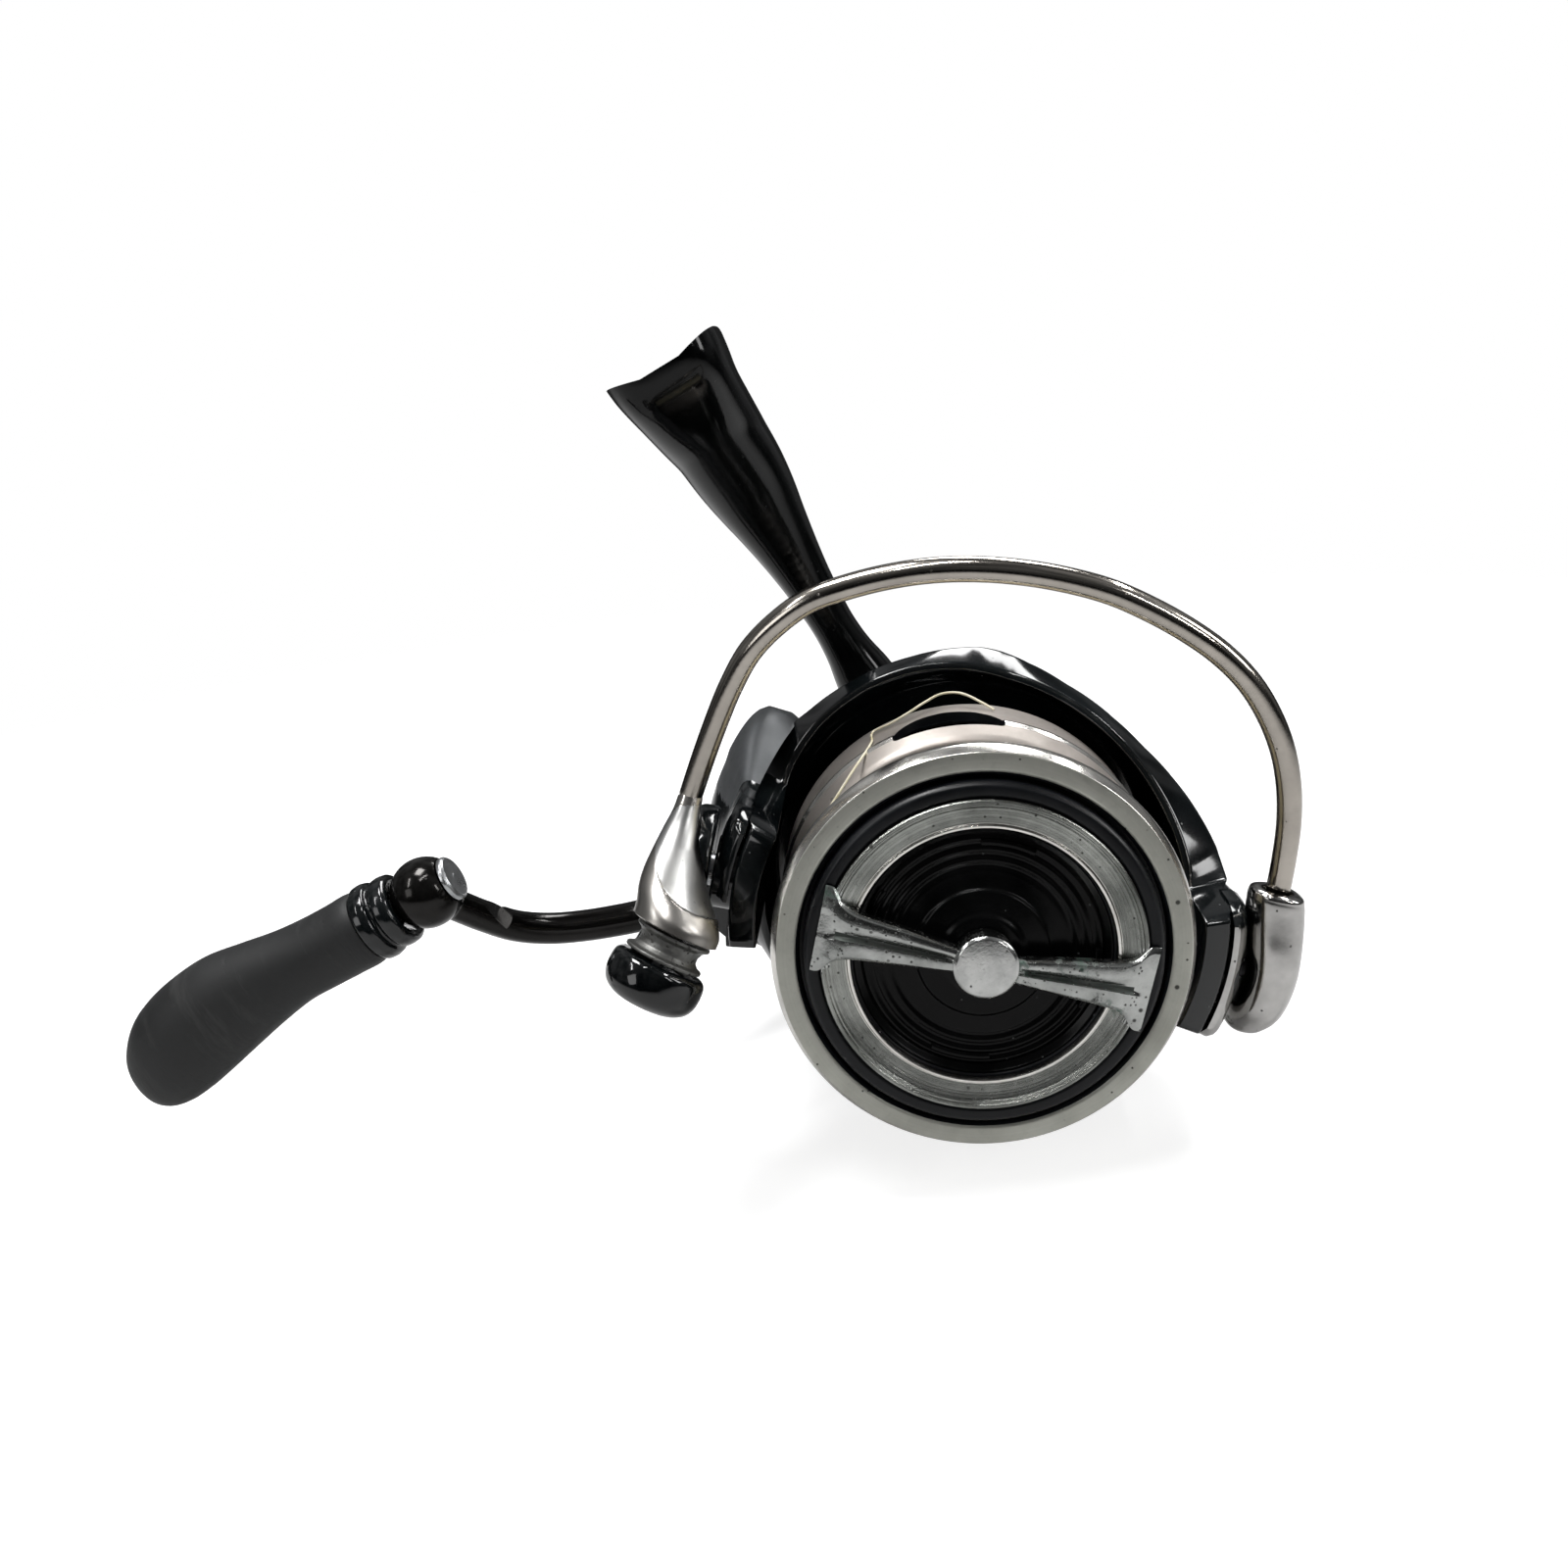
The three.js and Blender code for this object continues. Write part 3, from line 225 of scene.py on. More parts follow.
def around(name, rings):
    """A skin closed along and across: the last ring joins the first."""
    n, V, F = len(rings[0]), [], []
    for r in rings:
        V.extend(r)
    m = len(rings)
    for i in range(m):
        j = (i + 1) % m
        for k in range(n):
            q = (k + 1) % n
            F.append((i * n + k, i * n + q, j * n + q, j * n + k))
    return mesh_object(name, V, F)


def superellipse(n, a, b, e):
    t = np.linspace(0, 2 * math.pi, n, endpoint=False)
    c, s = np.cos(t), np.sin(t)
    return a * np.sign(c) * np.abs(c) ** (2 / e), b * np.sign(s) * np.abs(s) ** (2 / e)


def sweep(name, pts, size, up=(0, 1, 0), n=24, ends=True):
    """A bar along pts; size(t) gives the half sizes across and along up."""
    p = np.asarray(pts, float)
    up = np.array(up, float)
    rings = []
    tang = np.gradient(p, axis=0)
    tang /= np.linalg.norm(tang, axis=1, keepdims=True)
    a = np.linspace(0, 2 * math.pi, n, endpoint=False)

    def ring(c, t, sa, sb, k=1.0):
        v = up - t * (up @ t)
        v /= np.linalg.norm(v)
        u = np.cross(t, v)
        return c + np.outer(np.cos(a) * sa * k, u) + np.outer(np.sin(a) * sb * k, v)

    for i, c in enumerate(p):
        sa, sb = size(i / (len(p) - 1))
        rings.append(ring(c, tang[i], sa, sb))
    if ends:
        sa, sb = size(0.0)
        r = min(sa, sb) * 0.35
        rings = [ring(p[0] - tang[0] * r * sin(x), tang[0], sa - r * (1 - cos(x)), sb - r * (1 - cos(x))) for x in (1.5, 1.0, 0.5)] + rings
        sa, sb = size(1.0)
        r = min(sa, sb) * 0.35
        rings += [ring(p[-1] + tang[-1] * r * sin(x), tang[-1], sa - r * (1 - cos(x)), sb - r * (1 - cos(x))) for x in (0.5, 1.0, 1.5)]
    return loft(name, rings)


def map_coords(o, fn):
    set_coords(o, fn(coords(o)))
    if volume(o) < 0:
        o.data.flip_normals()
    return o


def about_x(o, y=0.0, z=0.0):
    return map_coords(o, lambda p: np.stack([p[:, 1], -p[:, 0] + y, p[:, 2] + z], 1))


def block(x0, x1, y0, y1, z0, z1):
    V = [(x, y, z) for x in (x0, x1) for y in (y0, y1) for z in (z0, z1)]
    F = [(0, 1, 3, 2), (4, 6, 7, 5), (0, 4, 5, 1), (2, 3, 7, 6), (0, 2, 6, 4), (1, 5, 7, 3)]
    return mesh_object("tool", V, F)


def x_rod(r, a, b, y, z, n=64):
    return about_x(lathe("tool", [(0, a), (r, a), (r, b), (0, b)], n), y, z)


def drop(o):
    bpy.data.objects.remove(o)


def apply_modifiers(o):
    dg = bpy.context.evaluated_depsgraph_get()
    m = bpy.data.meshes.new_from_object(o.evaluated_get(dg))
    old = o.data
    o.modifiers.clear()
    o.data = m
    bpy.data.meshes.remove(old)
    return o


def boolean(a, op, *tools, keep=False):
    for t in tools:
        was, tool = volume(a), volume(t)
        spare = a.data.copy()
        for solver in ("MANIFOLD", "EXACT"):
            m = a.modifiers.new("b", "BOOLEAN")
            m.operation = op
            m.object = t
            m.solver = solver
            apply_modifiers(a)
            now = volume(a)
            good = now > max(was, tool) * 1.0002 if op == "UNION" else 0 < now <= was * 1.002
            if good:
                break
            a.data = spare.copy()
        if not good:
            raise RuntimeError(f"a boolean failed on {a.name}: {op} {was:.2f} {tool:.2f} {now:.2f}")
        if not keep:
            drop(t)
    return a


def cut(a, *tools, keep=False):
    return boolean(a, "DIFFERENCE", *tools, keep=keep)


def largest(o):
    """Keep the biggest connected part of a solid and drop slivers a cut has left."""
    bm = bmesh.new()
    bm.from_mesh(o.data)
    seen, parts = set(), []
    for v in bm.verts:
        if v in seen:
            continue
        seen.add(v)
        part, todo = [], [v]
        while todo:
            q = todo.pop()
            part.append(q)
            for e in q.link_edges:
                w = e.other_vert(q)
                if w not in seen:
                    seen.add(w)
                    todo.append(w)
        parts.append(part)
    parts.sort(key=len)
    bmesh.ops.delete(bm, geom=[v for p in parts[:-1] for v in p], context="VERTS")
    bm.to_mesh(o.data)
    bm.free()
    return o


def fuse(a, *tools, keep=False):
    return boolean(a, "UNION", *tools, keep=keep)


def copy_of(o):
    c = bpy.data.objects.new(o.name, o.data.copy())
    bpy.context.scene.collection.objects.link(c)
    return c


def melt(o, voxel, smooth):
    """Merge overlapping solids into one skin with softly blended joints."""
    r = o.modifiers.new("r", "REMESH")
    r.mode = "VOXEL"
    r.voxel_size = voxel
    s = o.modifiers.new("s", "SMOOTH")
    s.factor = 0.5
    s.iterations = smooth
    return apply_modifiers(o)


def merge(name, objs):
    """Put several solids in one mesh, side by side."""
    V, F, k = [], [], 0
    for o in objs:
        V.extend(coords(o))
        F.extend([tuple(v + k for v in p.vertices) for p in o.data.polygons])
        k += len(o.data.vertices)
        drop(o)
    return mesh_object(name, V, F)


def place(o, name, where, body, nodes, mats, crease=34, pick=None):
    """Move a finished solid to its place, give it its finish and its body."""
    map_coords(o, where)
    o.name = name
    o.data.name = name
    o.data.shade_smooth()
    o.data.set_sharp_from_angle(angle=rad(crease))
    o.data.materials.clear()
    for m in mats if isinstance(mats, (list, tuple)) else [mats]:
        o.data.materials.append(m)
    if pick is not None:
        c = np.zeros(len(o.data.polygons) * 3)
        o.data.polygons.foreach_get("center", c)
        nn = np.zeros(len(o.data.polygons) * 3)
        o.data.polygons.foreach_get("normal", nn)
        c = c.reshape(-1, 3) * 1000 - np.array([0, 13.0, -72.2])
        o.data.polygons.foreach_set("material_index", np.asarray(pick(c, nn.reshape(-1, 3)), int))
    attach(o, body)
    if nodes:
        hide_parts(*nodes)
    return o


# ------------------------------------------------------------------ materials
class Mat:
    def __init__(self, name):
        self.m = bpy.data.materials.new(name)
        self.m.use_nodes = True
        self.t = self.m.node_tree
        self.t.nodes.clear()
        self.out = self.t.nodes.new("ShaderNodeOutputMaterial")
        self.b = self.t.nodes.new("ShaderNodeBsdfPrincipled")
        self.t.links.new(self.b.outputs[0], self.out.inputs[0])
        self.pos = self.t.nodes.new("ShaderNodeTexCoord").outputs["Object"]

    def node(self, kind, **sockets):
        n = self.t.nodes.new(kind)
        for k, v in sockets.items():
            self.put(n, k, v)
        return n

    def put(self, n, k, v):
        s = n.inputs[k] if isinstance(k, (int, str)) else k
        if hasattr(v, "is_output"):
            self.t.links.new(v, s)
        else:
            s.default_value = v

    def set(self, **kv):
        for k, v in kv.items():
            self.put(self.b, k.replace("_", " "), v)

    def scaled(self, sx, sy, sz, rot=(0, 0, 0)):
        n = self.t.nodes.new("ShaderNodeMapping")
        self.t.links.new(self.pos, n.inputs["Vector"])
        n.inputs["Scale"].default_value = (sx, sy, sz)
        n.inputs["Rotation"].default_value = rot
        return n.outputs[0]

    def noise(self, scale, detail=3.0, rough=0.55, vec=None, distort=0.0):
        n = self.t.nodes.new("ShaderNodeTexNoise")
        self.t.links.new(vec if vec is not None else self.pos, n.inputs["Vector"])
        n.inputs["Scale"].default_value = scale
        n.inputs["Detail"].default_value = detail
        n.inputs["Roughness"].default_value = rough
        n.inputs["Distortion"].default_value = distort
        return n.outputs["Fac"] if "Fac" in n.outputs else n.outputs[0]

    def cells(self, scale, vec=None, rand=1.0):
        n = self.t.nodes.new("ShaderNodeTexVoronoi")
        self.t.links.new(vec if vec is not None else self.pos, n.inputs["Vector"])
        n.inputs["Scale"].default_value = scale
        n.inputs["Randomness"].default_value = rand
        return n.outputs["Distance"], n.outputs["Color"]

    def ramp(self, fac, stops):
        n = self.t.nodes.new("ShaderNodeValToRGB")
        self.t.links.new(fac, n.inputs[0])
        e = n.color_ramp.elements
        while len(e) > 1:
            e.remove(e[-1])
        for i, (p, c) in enumerate(stops):
            c = (c, c, c, 1) if np.isscalar(c) else (*c[:3], 1)
            if i == 0:
                e[0].position, e[0].color = p, c
            else:
                q = e.new(p)
                q.color = c
        return n.outputs[0]

    def span(self, fac, a, b, lo=0.0, hi=1.0):
        n = self.t.nodes.new("ShaderNodeMapRange")
        self.t.links.new(fac, n.inputs[0])
        for i, v in enumerate((a, b, lo, hi)):
            self.put(n, i + 1, v)
        return n.outputs[0]

    def calc(self, op, a, b=0.0, c=0.0):
        n = self.t.nodes.new("ShaderNodeMath")
        n.operation = op
        for i, v in enumerate((a, b, c)):
            if i < len(n.inputs):
                self.put(n, i, v)
        return n.outputs[0]

    def mix(self, fac, a, b):
        n = self.t.nodes.new("ShaderNodeMix")
        n.data_type = "RGBA"
        self.put(n, 0, fac)
        self.put(n, 6, a if hasattr(a, "is_output") else (*a[:3], 1))
        self.put(n, 7, b if hasattr(b, "is_output") else (*b[:3], 1))
        return n.outputs[2]

    def xyz(self):
        n = self.t.nodes.new("ShaderNodeSeparateXYZ")
        self.t.links.new(self.pos, n.inputs[0])
        return n.outputs

    def axis_radius(self):
        """Distance from the spool shaft, in mm."""
        x, y, z = self.xyz()[:3]
        zz = self.calc("ADD", z, 0.0722)
        r2 = self.calc("ADD", self.calc("MULTIPLY", x, x), self.calc("MULTIPLY", zz, zz))
        return self.calc("MULTIPLY", self.calc("SQRT", r2), 1000.0)

    def axis_angle(self):
        x, y, z = self.xyz()[:3]
        return self.calc("ARCTAN2", x, self.calc("ADD", z, 0.0722))

    def bump(self, height, strength, dist=0.0002, normal=None):
        n = self.t.nodes.new("ShaderNodeBump")
        n.inputs["Strength"].default_value = strength
        n.inputs["Distance"].default_value = dist
        self.t.links.new(height, n.inputs["Height"])
        if normal is not None:
            self.t.links.new(normal, n.inputs["Normal"])
        return n.outputs[0]


def specks(M, scale, size, share, seed=0.0):
    """Round spots of about size/scale metres on a share of the cells: 1 inside a spot."""
    v = M.scaled(1, 1, 1)
    d, c = M.cells(scale, v)
    sep = M.t.nodes.new("ShaderNodeSeparateColor")
    M.t.links.new(c, sep.inputs[0])
    keep = M.span(sep.outputs[0], 1 - share, 1 - share + 0.01)
    spot = M.span(d, size, size * 0.55)
    return M.calc("MULTIPLY", keep, spot)


def plastic_gloss(name, base, rough=0.1, tint=(0.012, 0.016, 0.018), dust=0.5, shine=0.55):
    M = Mat(name)
    haze = M.noise(90, 4, 0.6)
    col = M.mix(M.span(haze, 0.42, 0.7), base, tint)
    dusty = M.calc("MULTIPLY", specks(M, 900, 0.16, 0.10), dust)
    col = M.mix(dusty, col, (0.07, 0.075, 0.075))
    scr = M.noise(60, 6, 0.8, M.scaled(1, 14, 3, (0.3, 0.9, 0.2)))
    scr = M.span(scr, 0.62, 0.70)
    M.put(M.b, "Base Color", col)
    r = M.calc("ADD", M.span(haze, 0.35, 0.75, rough * 0.75, rough * 1.7), M.calc("MULTIPLY", scr, 0.07))
    r = M.calc("ADD", r, M.calc("MULTIPLY", dusty, 0.4))
    M.put(M.b, "Roughness", r)
    M.set(Specular_IOR_Level=shine)
    peel = M.noise(1500, 2, 0.5)
    M.put(M.b, "Normal", M.bump(peel, 0.02, 0.0001))
    return M.m


def plastic_satin(name, base, rough=0.42, grain=2600, shine=0.32):
    M = Mat(name)
    haze = M.noise(110, 4, 0.6)
    col = M.mix(M.span(haze, 0.4, 0.75), base, tuple(min(1, c * 1.8 + 0.003) for c in base))
    dusty = specks(M, 1100, 0.17, 0.07)
    M.put(M.b, "Base Color", M.mix(M.calc("MULTIPLY", dusty, 0.5), col, (0.09, 0.095, 0.095)))
    M.put(M.b, "Roughness", M.span(haze, 0.3, 0.8, rough * 0.8, rough * 1.25))
    M.set(Specular_IOR_Level=shine)
    g = M.noise(grain, 3, 0.6)
    nrm = M.bump(g, 0.10, 0.00008)
    M.put(M.b, "Normal", nrm)
    return M.m


def metal(name, base, rough, dark=None, spots=0.0, green=0.0, turned=0.0, haze_scale=160, aniso=0.0, streak=0.0, metallic=1.0, wear=0.5, pits=0.0, green_at=()):
    M = Mat(name)
    dark = dark or tuple(c * 0.62 for c in base)
    haze = M.noise(haze_scale, 5, 0.62)
    fine = M.noise(haze_scale * 9, 4, 0.65)
    col = M.mix(M.span(haze, 0.38, 0.72), base, dark)
    col = M.mix(M.span(fine, 0.55, 0.8, 0, 0.35 * wear), col, tuple(c * 0.45 for c in base))
    r = M.span(haze, 0.3, 0.75, rough * 0.72, rough * 1.35)
    height = M.span(fine, 0.3, 0.7, 0, 0.25 * wear)
    scr = M.span(M.noise(70, 7, 0.85, M.scaled(1, 11, 2.2, (0.5, 0.2, 0.9))), 0.60, 0.68)
    scr2 = M.span(M.noise(90, 7, 0.85, M.scaled(9, 1, 2.0, (0.1, 0.7, 0.3))), 0.61, 0.67)
    scratch = M.calc("MAXIMUM", scr, scr2)
    r = M.calc("ADD", r, M.calc("MULTIPLY", scratch, 0.10 * wear))
    height = M.calc("SUBTRACT", height, M.calc("MULTIPLY", scratch, 0.10 * wear))
    met = metallic
    if spots:
        s = M.calc("MAXIMUM", specks(M, 900, 0.30, 0.13 * spots), specks(M, 2100, 0.36, 0.14 * spots))
        grime = M.span(M.noise(420, 6, 0.7), 0.62, 0.70)
        s = M.calc("MAXIMUM", s, M.calc("MULTIPLY", grime, min(1.0, 0.9 * spots)))
        col = M.mix(M.calc("MULTIPLY", s, 0.85), col, (0.035, 0.035, 0.032))
        r = M.calc("ADD", r, M.calc("MULTIPLY", s, 0.35))
        height = M.calc("SUBTRACT", height, M.calc("MULTIPLY", s, 0.6))
    if green:
        g = M.span(M.noise(150, 5, 0.6, M.scaled(1.3, 1.1, 0.9, (0.4, 0.1, 0.2))), 0.66 - 0.06 * green, 0.72 - 0.06 * green)
        col = M.mix(M.calc("MULTIPLY", g, 0.85), col, (0.035, 0.085, 0.062))
        r = M.calc("ADD", r, M.calc("MULTIPLY", g, 0.4))
        met = M.calc("SUBTRACT", metallic, M.calc("MULTIPLY", g, 0.8))
    if green_at:
        # corrosion gathers at places given as across, up and reach in the frame that turns with the rotor, in mm
        n_ = M.noise(900, 4, 0.6)
        for gx, gz, reach in green_at:
            c_ = in_rotor(np.array([[gx, LIP_Y - 2.0, gz]]))[0]
            dv = M.t.nodes.new("ShaderNodeVectorMath")
            dv.operation = "DISTANCE"
            M.t.links.new(M.pos, dv.inputs[0])
            dv.inputs[1].default_value = tuple(c_)
            near = M.span(dv.outputs["Value"], reach / 1000 * 1.2, reach / 1000 * 0.3)
            g = M.calc("MULTIPLY", near, M.span(n_, 0.42, 0.56))
            col = M.mix(M.calc("MULTIPLY", g, 0.8), col, (0.030, 0.095, 0.065))
            r = M.calc("ADD", r, M.calc("MULTIPLY", g, 0.35))
    if pits:
        p = M.span(M.noise(1500, 3, 0.6), 0.60, 0.68)
        col = M.mix(M.calc("MULTIPLY", p, pits), col, (0.05, 0.047, 0.043))
        r = M.calc("ADD", r, M.calc("MULTIPLY", p, 0.4 * pits))
        height = M.calc("SUBTRACT", height, M.calc("MULTIPLY", p, 1.0 * pits))
    nrm = M.bump(height, 0.25, 0.00012)
    if turned:
        rr = M.axis_radius()
        g1 = M.noise(1.0, 5, 0.85, M_vec(M, rr, 4.2))
        nrm = M.bump(g1, 0.45 * turned, 0.00012, nrm)
        r = M.calc("ADD", r, M.span(g1, 0.45, 0.7, 0, 0.10 * turned))
        col = M.mix(M.span(g1, 0.48, 0.70, 0, 0.7 * turned), col, tuple(c * 0.7 for c in dark))
    M.put(M.b, "Base Color", col)
    M.put(M.b, "Roughness", r)
    M.put(M.b, "Metallic", met)
    if aniso:
        M.set(Anisotropic=aniso)
    M.put(M.b, "Normal", nrm)
    return M.m


def M_vec(M, value, scale):
    n = M.t.nodes.new("ShaderNodeCombineXYZ")
    M.t.links.new(M.calc("MULTIPLY", value, scale), n.inputs[0])
    return n.outputs[0]


def rubber(name):
    M = Mat(name)
    haze = M.noise(60, 5, 0.6)
    scuff = M.span(M.noise(45, 6, 0.75, M.scaled(5, 1.2, 0.8, (0.2, 0.5, 0.9))), 0.52, 0.68)
    fine = M.noise(2200, 4, 0.7)
    col = M.mix(M.span(haze, 0.35, 0.7), (0.0095, 0.0098, 0.0102), (0.017, 0.0174, 0.0178))
    col = M.mix(M.calc("MULTIPLY", scuff, 0.45), col, (0.055, 0.055, 0.054))
    nicks = specks(M, 420, 0.13, 0.05)
    col = M.mix(M.calc("MULTIPLY", nicks, 0.7), col, (0.14, 0.14, 0.135))
    M.put(M.b, "Base Color", col)
    M.put(M.b, "Roughness", M.calc("ADD", M.span(haze, 0.3, 0.8, 0.50, 0.66), M.calc("MULTIPLY", scuff, 0.12)))
    M.set(Specular_IOR_Level=0.4)
    line = M.span(M.noise(38, 5, 0.8, M.scaled(6, 0.9, 1.4, (0.1, 0.9, 0.35))), 0.60, 0.63)
    h = M.calc("SUBTRACT", fine, M.calc("MULTIPLY", line, 1.4))
    M.put(M.b, "Normal", M.bump(h, 0.16, 0.00014))
    return M.m


def nylon(name):
    M = Mat(name)
    haze = M.noise(300, 4, 0.6)
    M.put(M.b, "Base Color", M.mix(M.span(haze, 0.3, 0.7), (0.62, 0.55, 0.36), (0.78, 0.74, 0.60)))
    M.put(M.b, "Roughness", M.span(haze, 0.3, 0.7, 0.22, 0.42))
    M.set(Transmission_Weight=0.25, IOR=1.5)
    M.put(M.b, "Normal", M.bump(M.noise(2500, 2, 0.5), 0.08, 0.0001))
    return M.m


def felt(name):
    M = Mat(name)
    f = M.noise(3200, 5, 0.75)
    M.put(M.b, "Base Color", M.mix(M.span(f, 0.3, 0.7), (0.10, 0.09, 0.075), (0.20, 0.18, 0.15)))
    M.set(Roughness=0.95)
    M.put(M.b, "Normal", M.bump(f, 0.5, 0.0003))
    return M.m


m_black = plastic_gloss("gloss_black", (0.0014, 0.0019, 0.0022), 0.09, (0.0042, 0.0058, 0.0064))
m_stem = plastic_gloss("gloss_black_stem", (0.0012, 0.0014, 0.0015), 0.12, (0.0040, 0.0044, 0.0046), 0.25, 0.24)
m_satin = plastic_satin("satin_black", (0.0026, 0.0030, 0.0040), 0.34, 2600, 0.26)
m_dish = plastic_satin("satin_black_dish", (0.0006, 0.0007, 0.0008), 0.22, 1800, 0.13)
m_lip = metal("lip_silver", (0.47, 0.472, 0.425), 0.44, (0.40, 0.40, 0.36), spots=0.18, turned=0.35, haze_scale=120, wear=0.6, metallic=0.9)
m_skirt = metal("skirt_grey", (0.34, 0.312, 0.287), 0.47, (0.27, 0.245, 0.225), spots=0.06, turned=0.0, haze_scale=90, wear=0.5, metallic=0.9)
# lighter metal for thin edge bands: painted highlight lines along the spool's raised step, its rear rim and the chrome
# ring's inner edge; on the spool lip bevel it is also the polished finish
m_polished_edge_and_highlight = metal("polished_edge_and_painted_highlight", (0.84, 0.82, 0.78), 0.20, (0.66, 0.64, 0.60), spots=0.05, haze_scale=260, wear=0.4)
m_chrome = metal("chrome", (0.47, 0.48, 0.465), 0.19, (0.24, 0.25, 0.24), spots=2.1, green=0.35, haze_scale=210, wear=1.0,
                 green_at=[(-18.0, 4.4, 1.5), (-4.3, 0.4, 1.2), (4.6, 0.3, 1.5), (10.5, 1.9, 1.6), (7.5, 1.6, 1.0)])
m_capd = metal("chrome_cap", (0.56, 0.565, 0.55), 0.17, (0.34, 0.345, 0.34), spots=0.5, haze_scale=260, wear=1.0)
m_grime = metal("grime", (0.060, 0.066, 0.060), 0.45, (0.030, 0.040, 0.034), spots=0.6, green=0.9, haze_scale=300, wear=1.0, metallic=0.5)
m_ring = metal("chrome_ring", (0.40, 0.41, 0.385), 0.20, (0.13, 0.135, 0.125), spots=0.35, green=0.12, turned=1.35, haze_scale=120, wear=0.8)
m_hold = metal("chrome_holder", (0.54, 0.53, 0.515), 0.13, (0.30, 0.295, 0.285), spots=0.22, haze_scale=90, wear=0.35)
m_polish = metal("polished", (0.44, 0.42, 0.395), 0.29, (0.32, 0.305, 0.285), spots=0.05, haze_scale=120, wear=0.45)
m_facet = metal("satin_facet", (0.54, 0.54, 0.53), 0.36, (0.43, 0.43, 0.42), spots=0.04, haze_scale=60, wear=0.35)
m_wire = metal("polished_wire", (0.47, 0.435, 0.39), 0.15, (0.33, 0.305, 0.275), spots=0.07, haze_scale=140, wear=0.5)
m_gun = metal("gunmetal", (0.022, 0.021, 0.020), 0.14, (0.012, 0.0115, 0.011), spots=0.05, haze_scale=110, wear=0.4, metallic=0.85)
m_cover = metal("silver_cover", (0.088, 0.092, 0.096), 0.44, (0.06, 0.064, 0.068), spots=0.06, haze_scale=90, wear=0.4, metallic=0.5)
m_steel = metal("steel", (0.52, 0.53, 0.54), 0.30, (0.36, 0.37, 0.38), spots=0.15, haze_scale=240, wear=0.7)
m_pitted = metal("pitted_steel", (0.22, 0.22, 0.21), 0.46, (0.09, 0.09, 0.086), spots=0.6, haze_scale=320, wear=1.0, pits=0.8)
m_brass = metal("brass", (0.56, 0.42, 0.17), 0.30, (0.38, 0.27, 0.11), spots=0.1, haze_scale=220, wear=0.6)
m_rubber = rubber("rubber")
m_line = nylon("line")
m_felt = felt("felt")
m_gear = plastic_satin("gear_plastic", (0.012, 0.012, 0.013), 0.5)

# ------------------------------------------------------------------ housing: body with stem and foot, side cover, tail cover
HOUSING = [[-14.9, 15.6, 17.0, -4.0], [-11, 16.3, 18.4, -5.0], [-4, 16.6, 19.5, -6.2], [4, 16.2, 19.6, -6.6],
           [11, 14.8, 18.4, -6.5], [16, 12.9, 16.7, -6.1], [20, 10.4, 14.2, -5.6], [23.4, 7.0, 10.2, -5.2], [25, 3.4, 5.4, -5.0]]
STEM = [  # z, front, rear, half width, share of the width lost at the rear
    [6, -12.6, 12.5, 8.2, 0.1], [10, -12.7, 10.5, 6.9, 0.12], [14, -12.8, 9, 5.9, 0.15], [20, -12.9, 5, 5.0, 0.2], [26, -13.0, 1.5, 4.4, 0.25],
    [30, -13.5, -1.0, 3.6, 0.3], [34, -14.5, -2.4, 3.25, 0.3], [38, -15.5, -2.8, 3.45, 0.32], [42, -17.0, -2.2, 3.9, 0.38],
    [46, -19.0, -0.8, 4.55, 0.42], [50, -21.5, 1.2, 5.4, 0.5], [54, -24.5, 3.6, 6.35, 0.56], [58, -28.5, 6.2, 7.0, 0.6], [62, -33.0, 9.0, 7.2, 0.62],
    [66, -38.0, 11.8, 7.2, 0.62], [69, -41.6, 14.8, 7.3, 0.62], [71, -43.0, 17.0, 7.7, 0.62], [74.2, -43.6, 18.2, 8.1, 0.6]]


def housing(d, y0, y1, k=44, n=96):
    ys = np.linspace(y0, y1, k)
    rings = []
    for y, (a, b, zc) in zip(ys, spl(HOUSING, ys)):
        u, w = superellipse(n, a - d, b - d, 2.7)
        rings.append(np.stack([u, np.full(n, y), w + zc], 1))
    return loft("housing", rings)


def stem(k=90, n=64):
    zs = np.linspace(STEM[0][0], STEM[-1][0], k)
    rings = []
    for z, (y0, y1, w, t) in zip(zs, spl(STEM, zs)):
        e = 2.4 + 1.7 * min(1, max(0, (z - 62) / 7))
        yy, xx = superellipse(n, (y1 - y0) / 2, w, e)
        s = (yy / ((y1 - y0) / 2) + 1) / 2
        xx = xx * (1 - t * s) / (1 - t * 0.12)
        rings.append(np.stack([xx, yy + (y0 + y1) / 2, np.full(n, z)], 1))
    return loft("stem", rings)


def rod(r, a, b, n=64):
    return lathe("tool", [(0, a), (r, a), (r, b), (0, b)], n)


pad_l = about_x(lathe("tool", fillet([(0, -17.0), (7.6, -17.0), (7.9, -12.0), (8.4, -9.3), (0, -9.3)], 0.8, False), 72), 0, -8.5)
pad_r = about_x(lathe("tool", fillet([(0, 17.0), (7.6, 17.0), (7.9, 12.0), (8.4, 9.3), (0, 9.3)], 0.8, False), 72), 0, -8.5)
outer = merge("outer", [housing(0, -14.9, 25), stem(), lathe("tool", fillet([(0, -21.5), (13, -21.5), (13.2, -12.0), (0, -12.0)], 0.7, False), 96), pad_l, pad_r])
melt(outer, 0.5, 7)
inner = housing(2.0, -13.2, 22.4, 24, 48)
skin = cut(outer, inner)

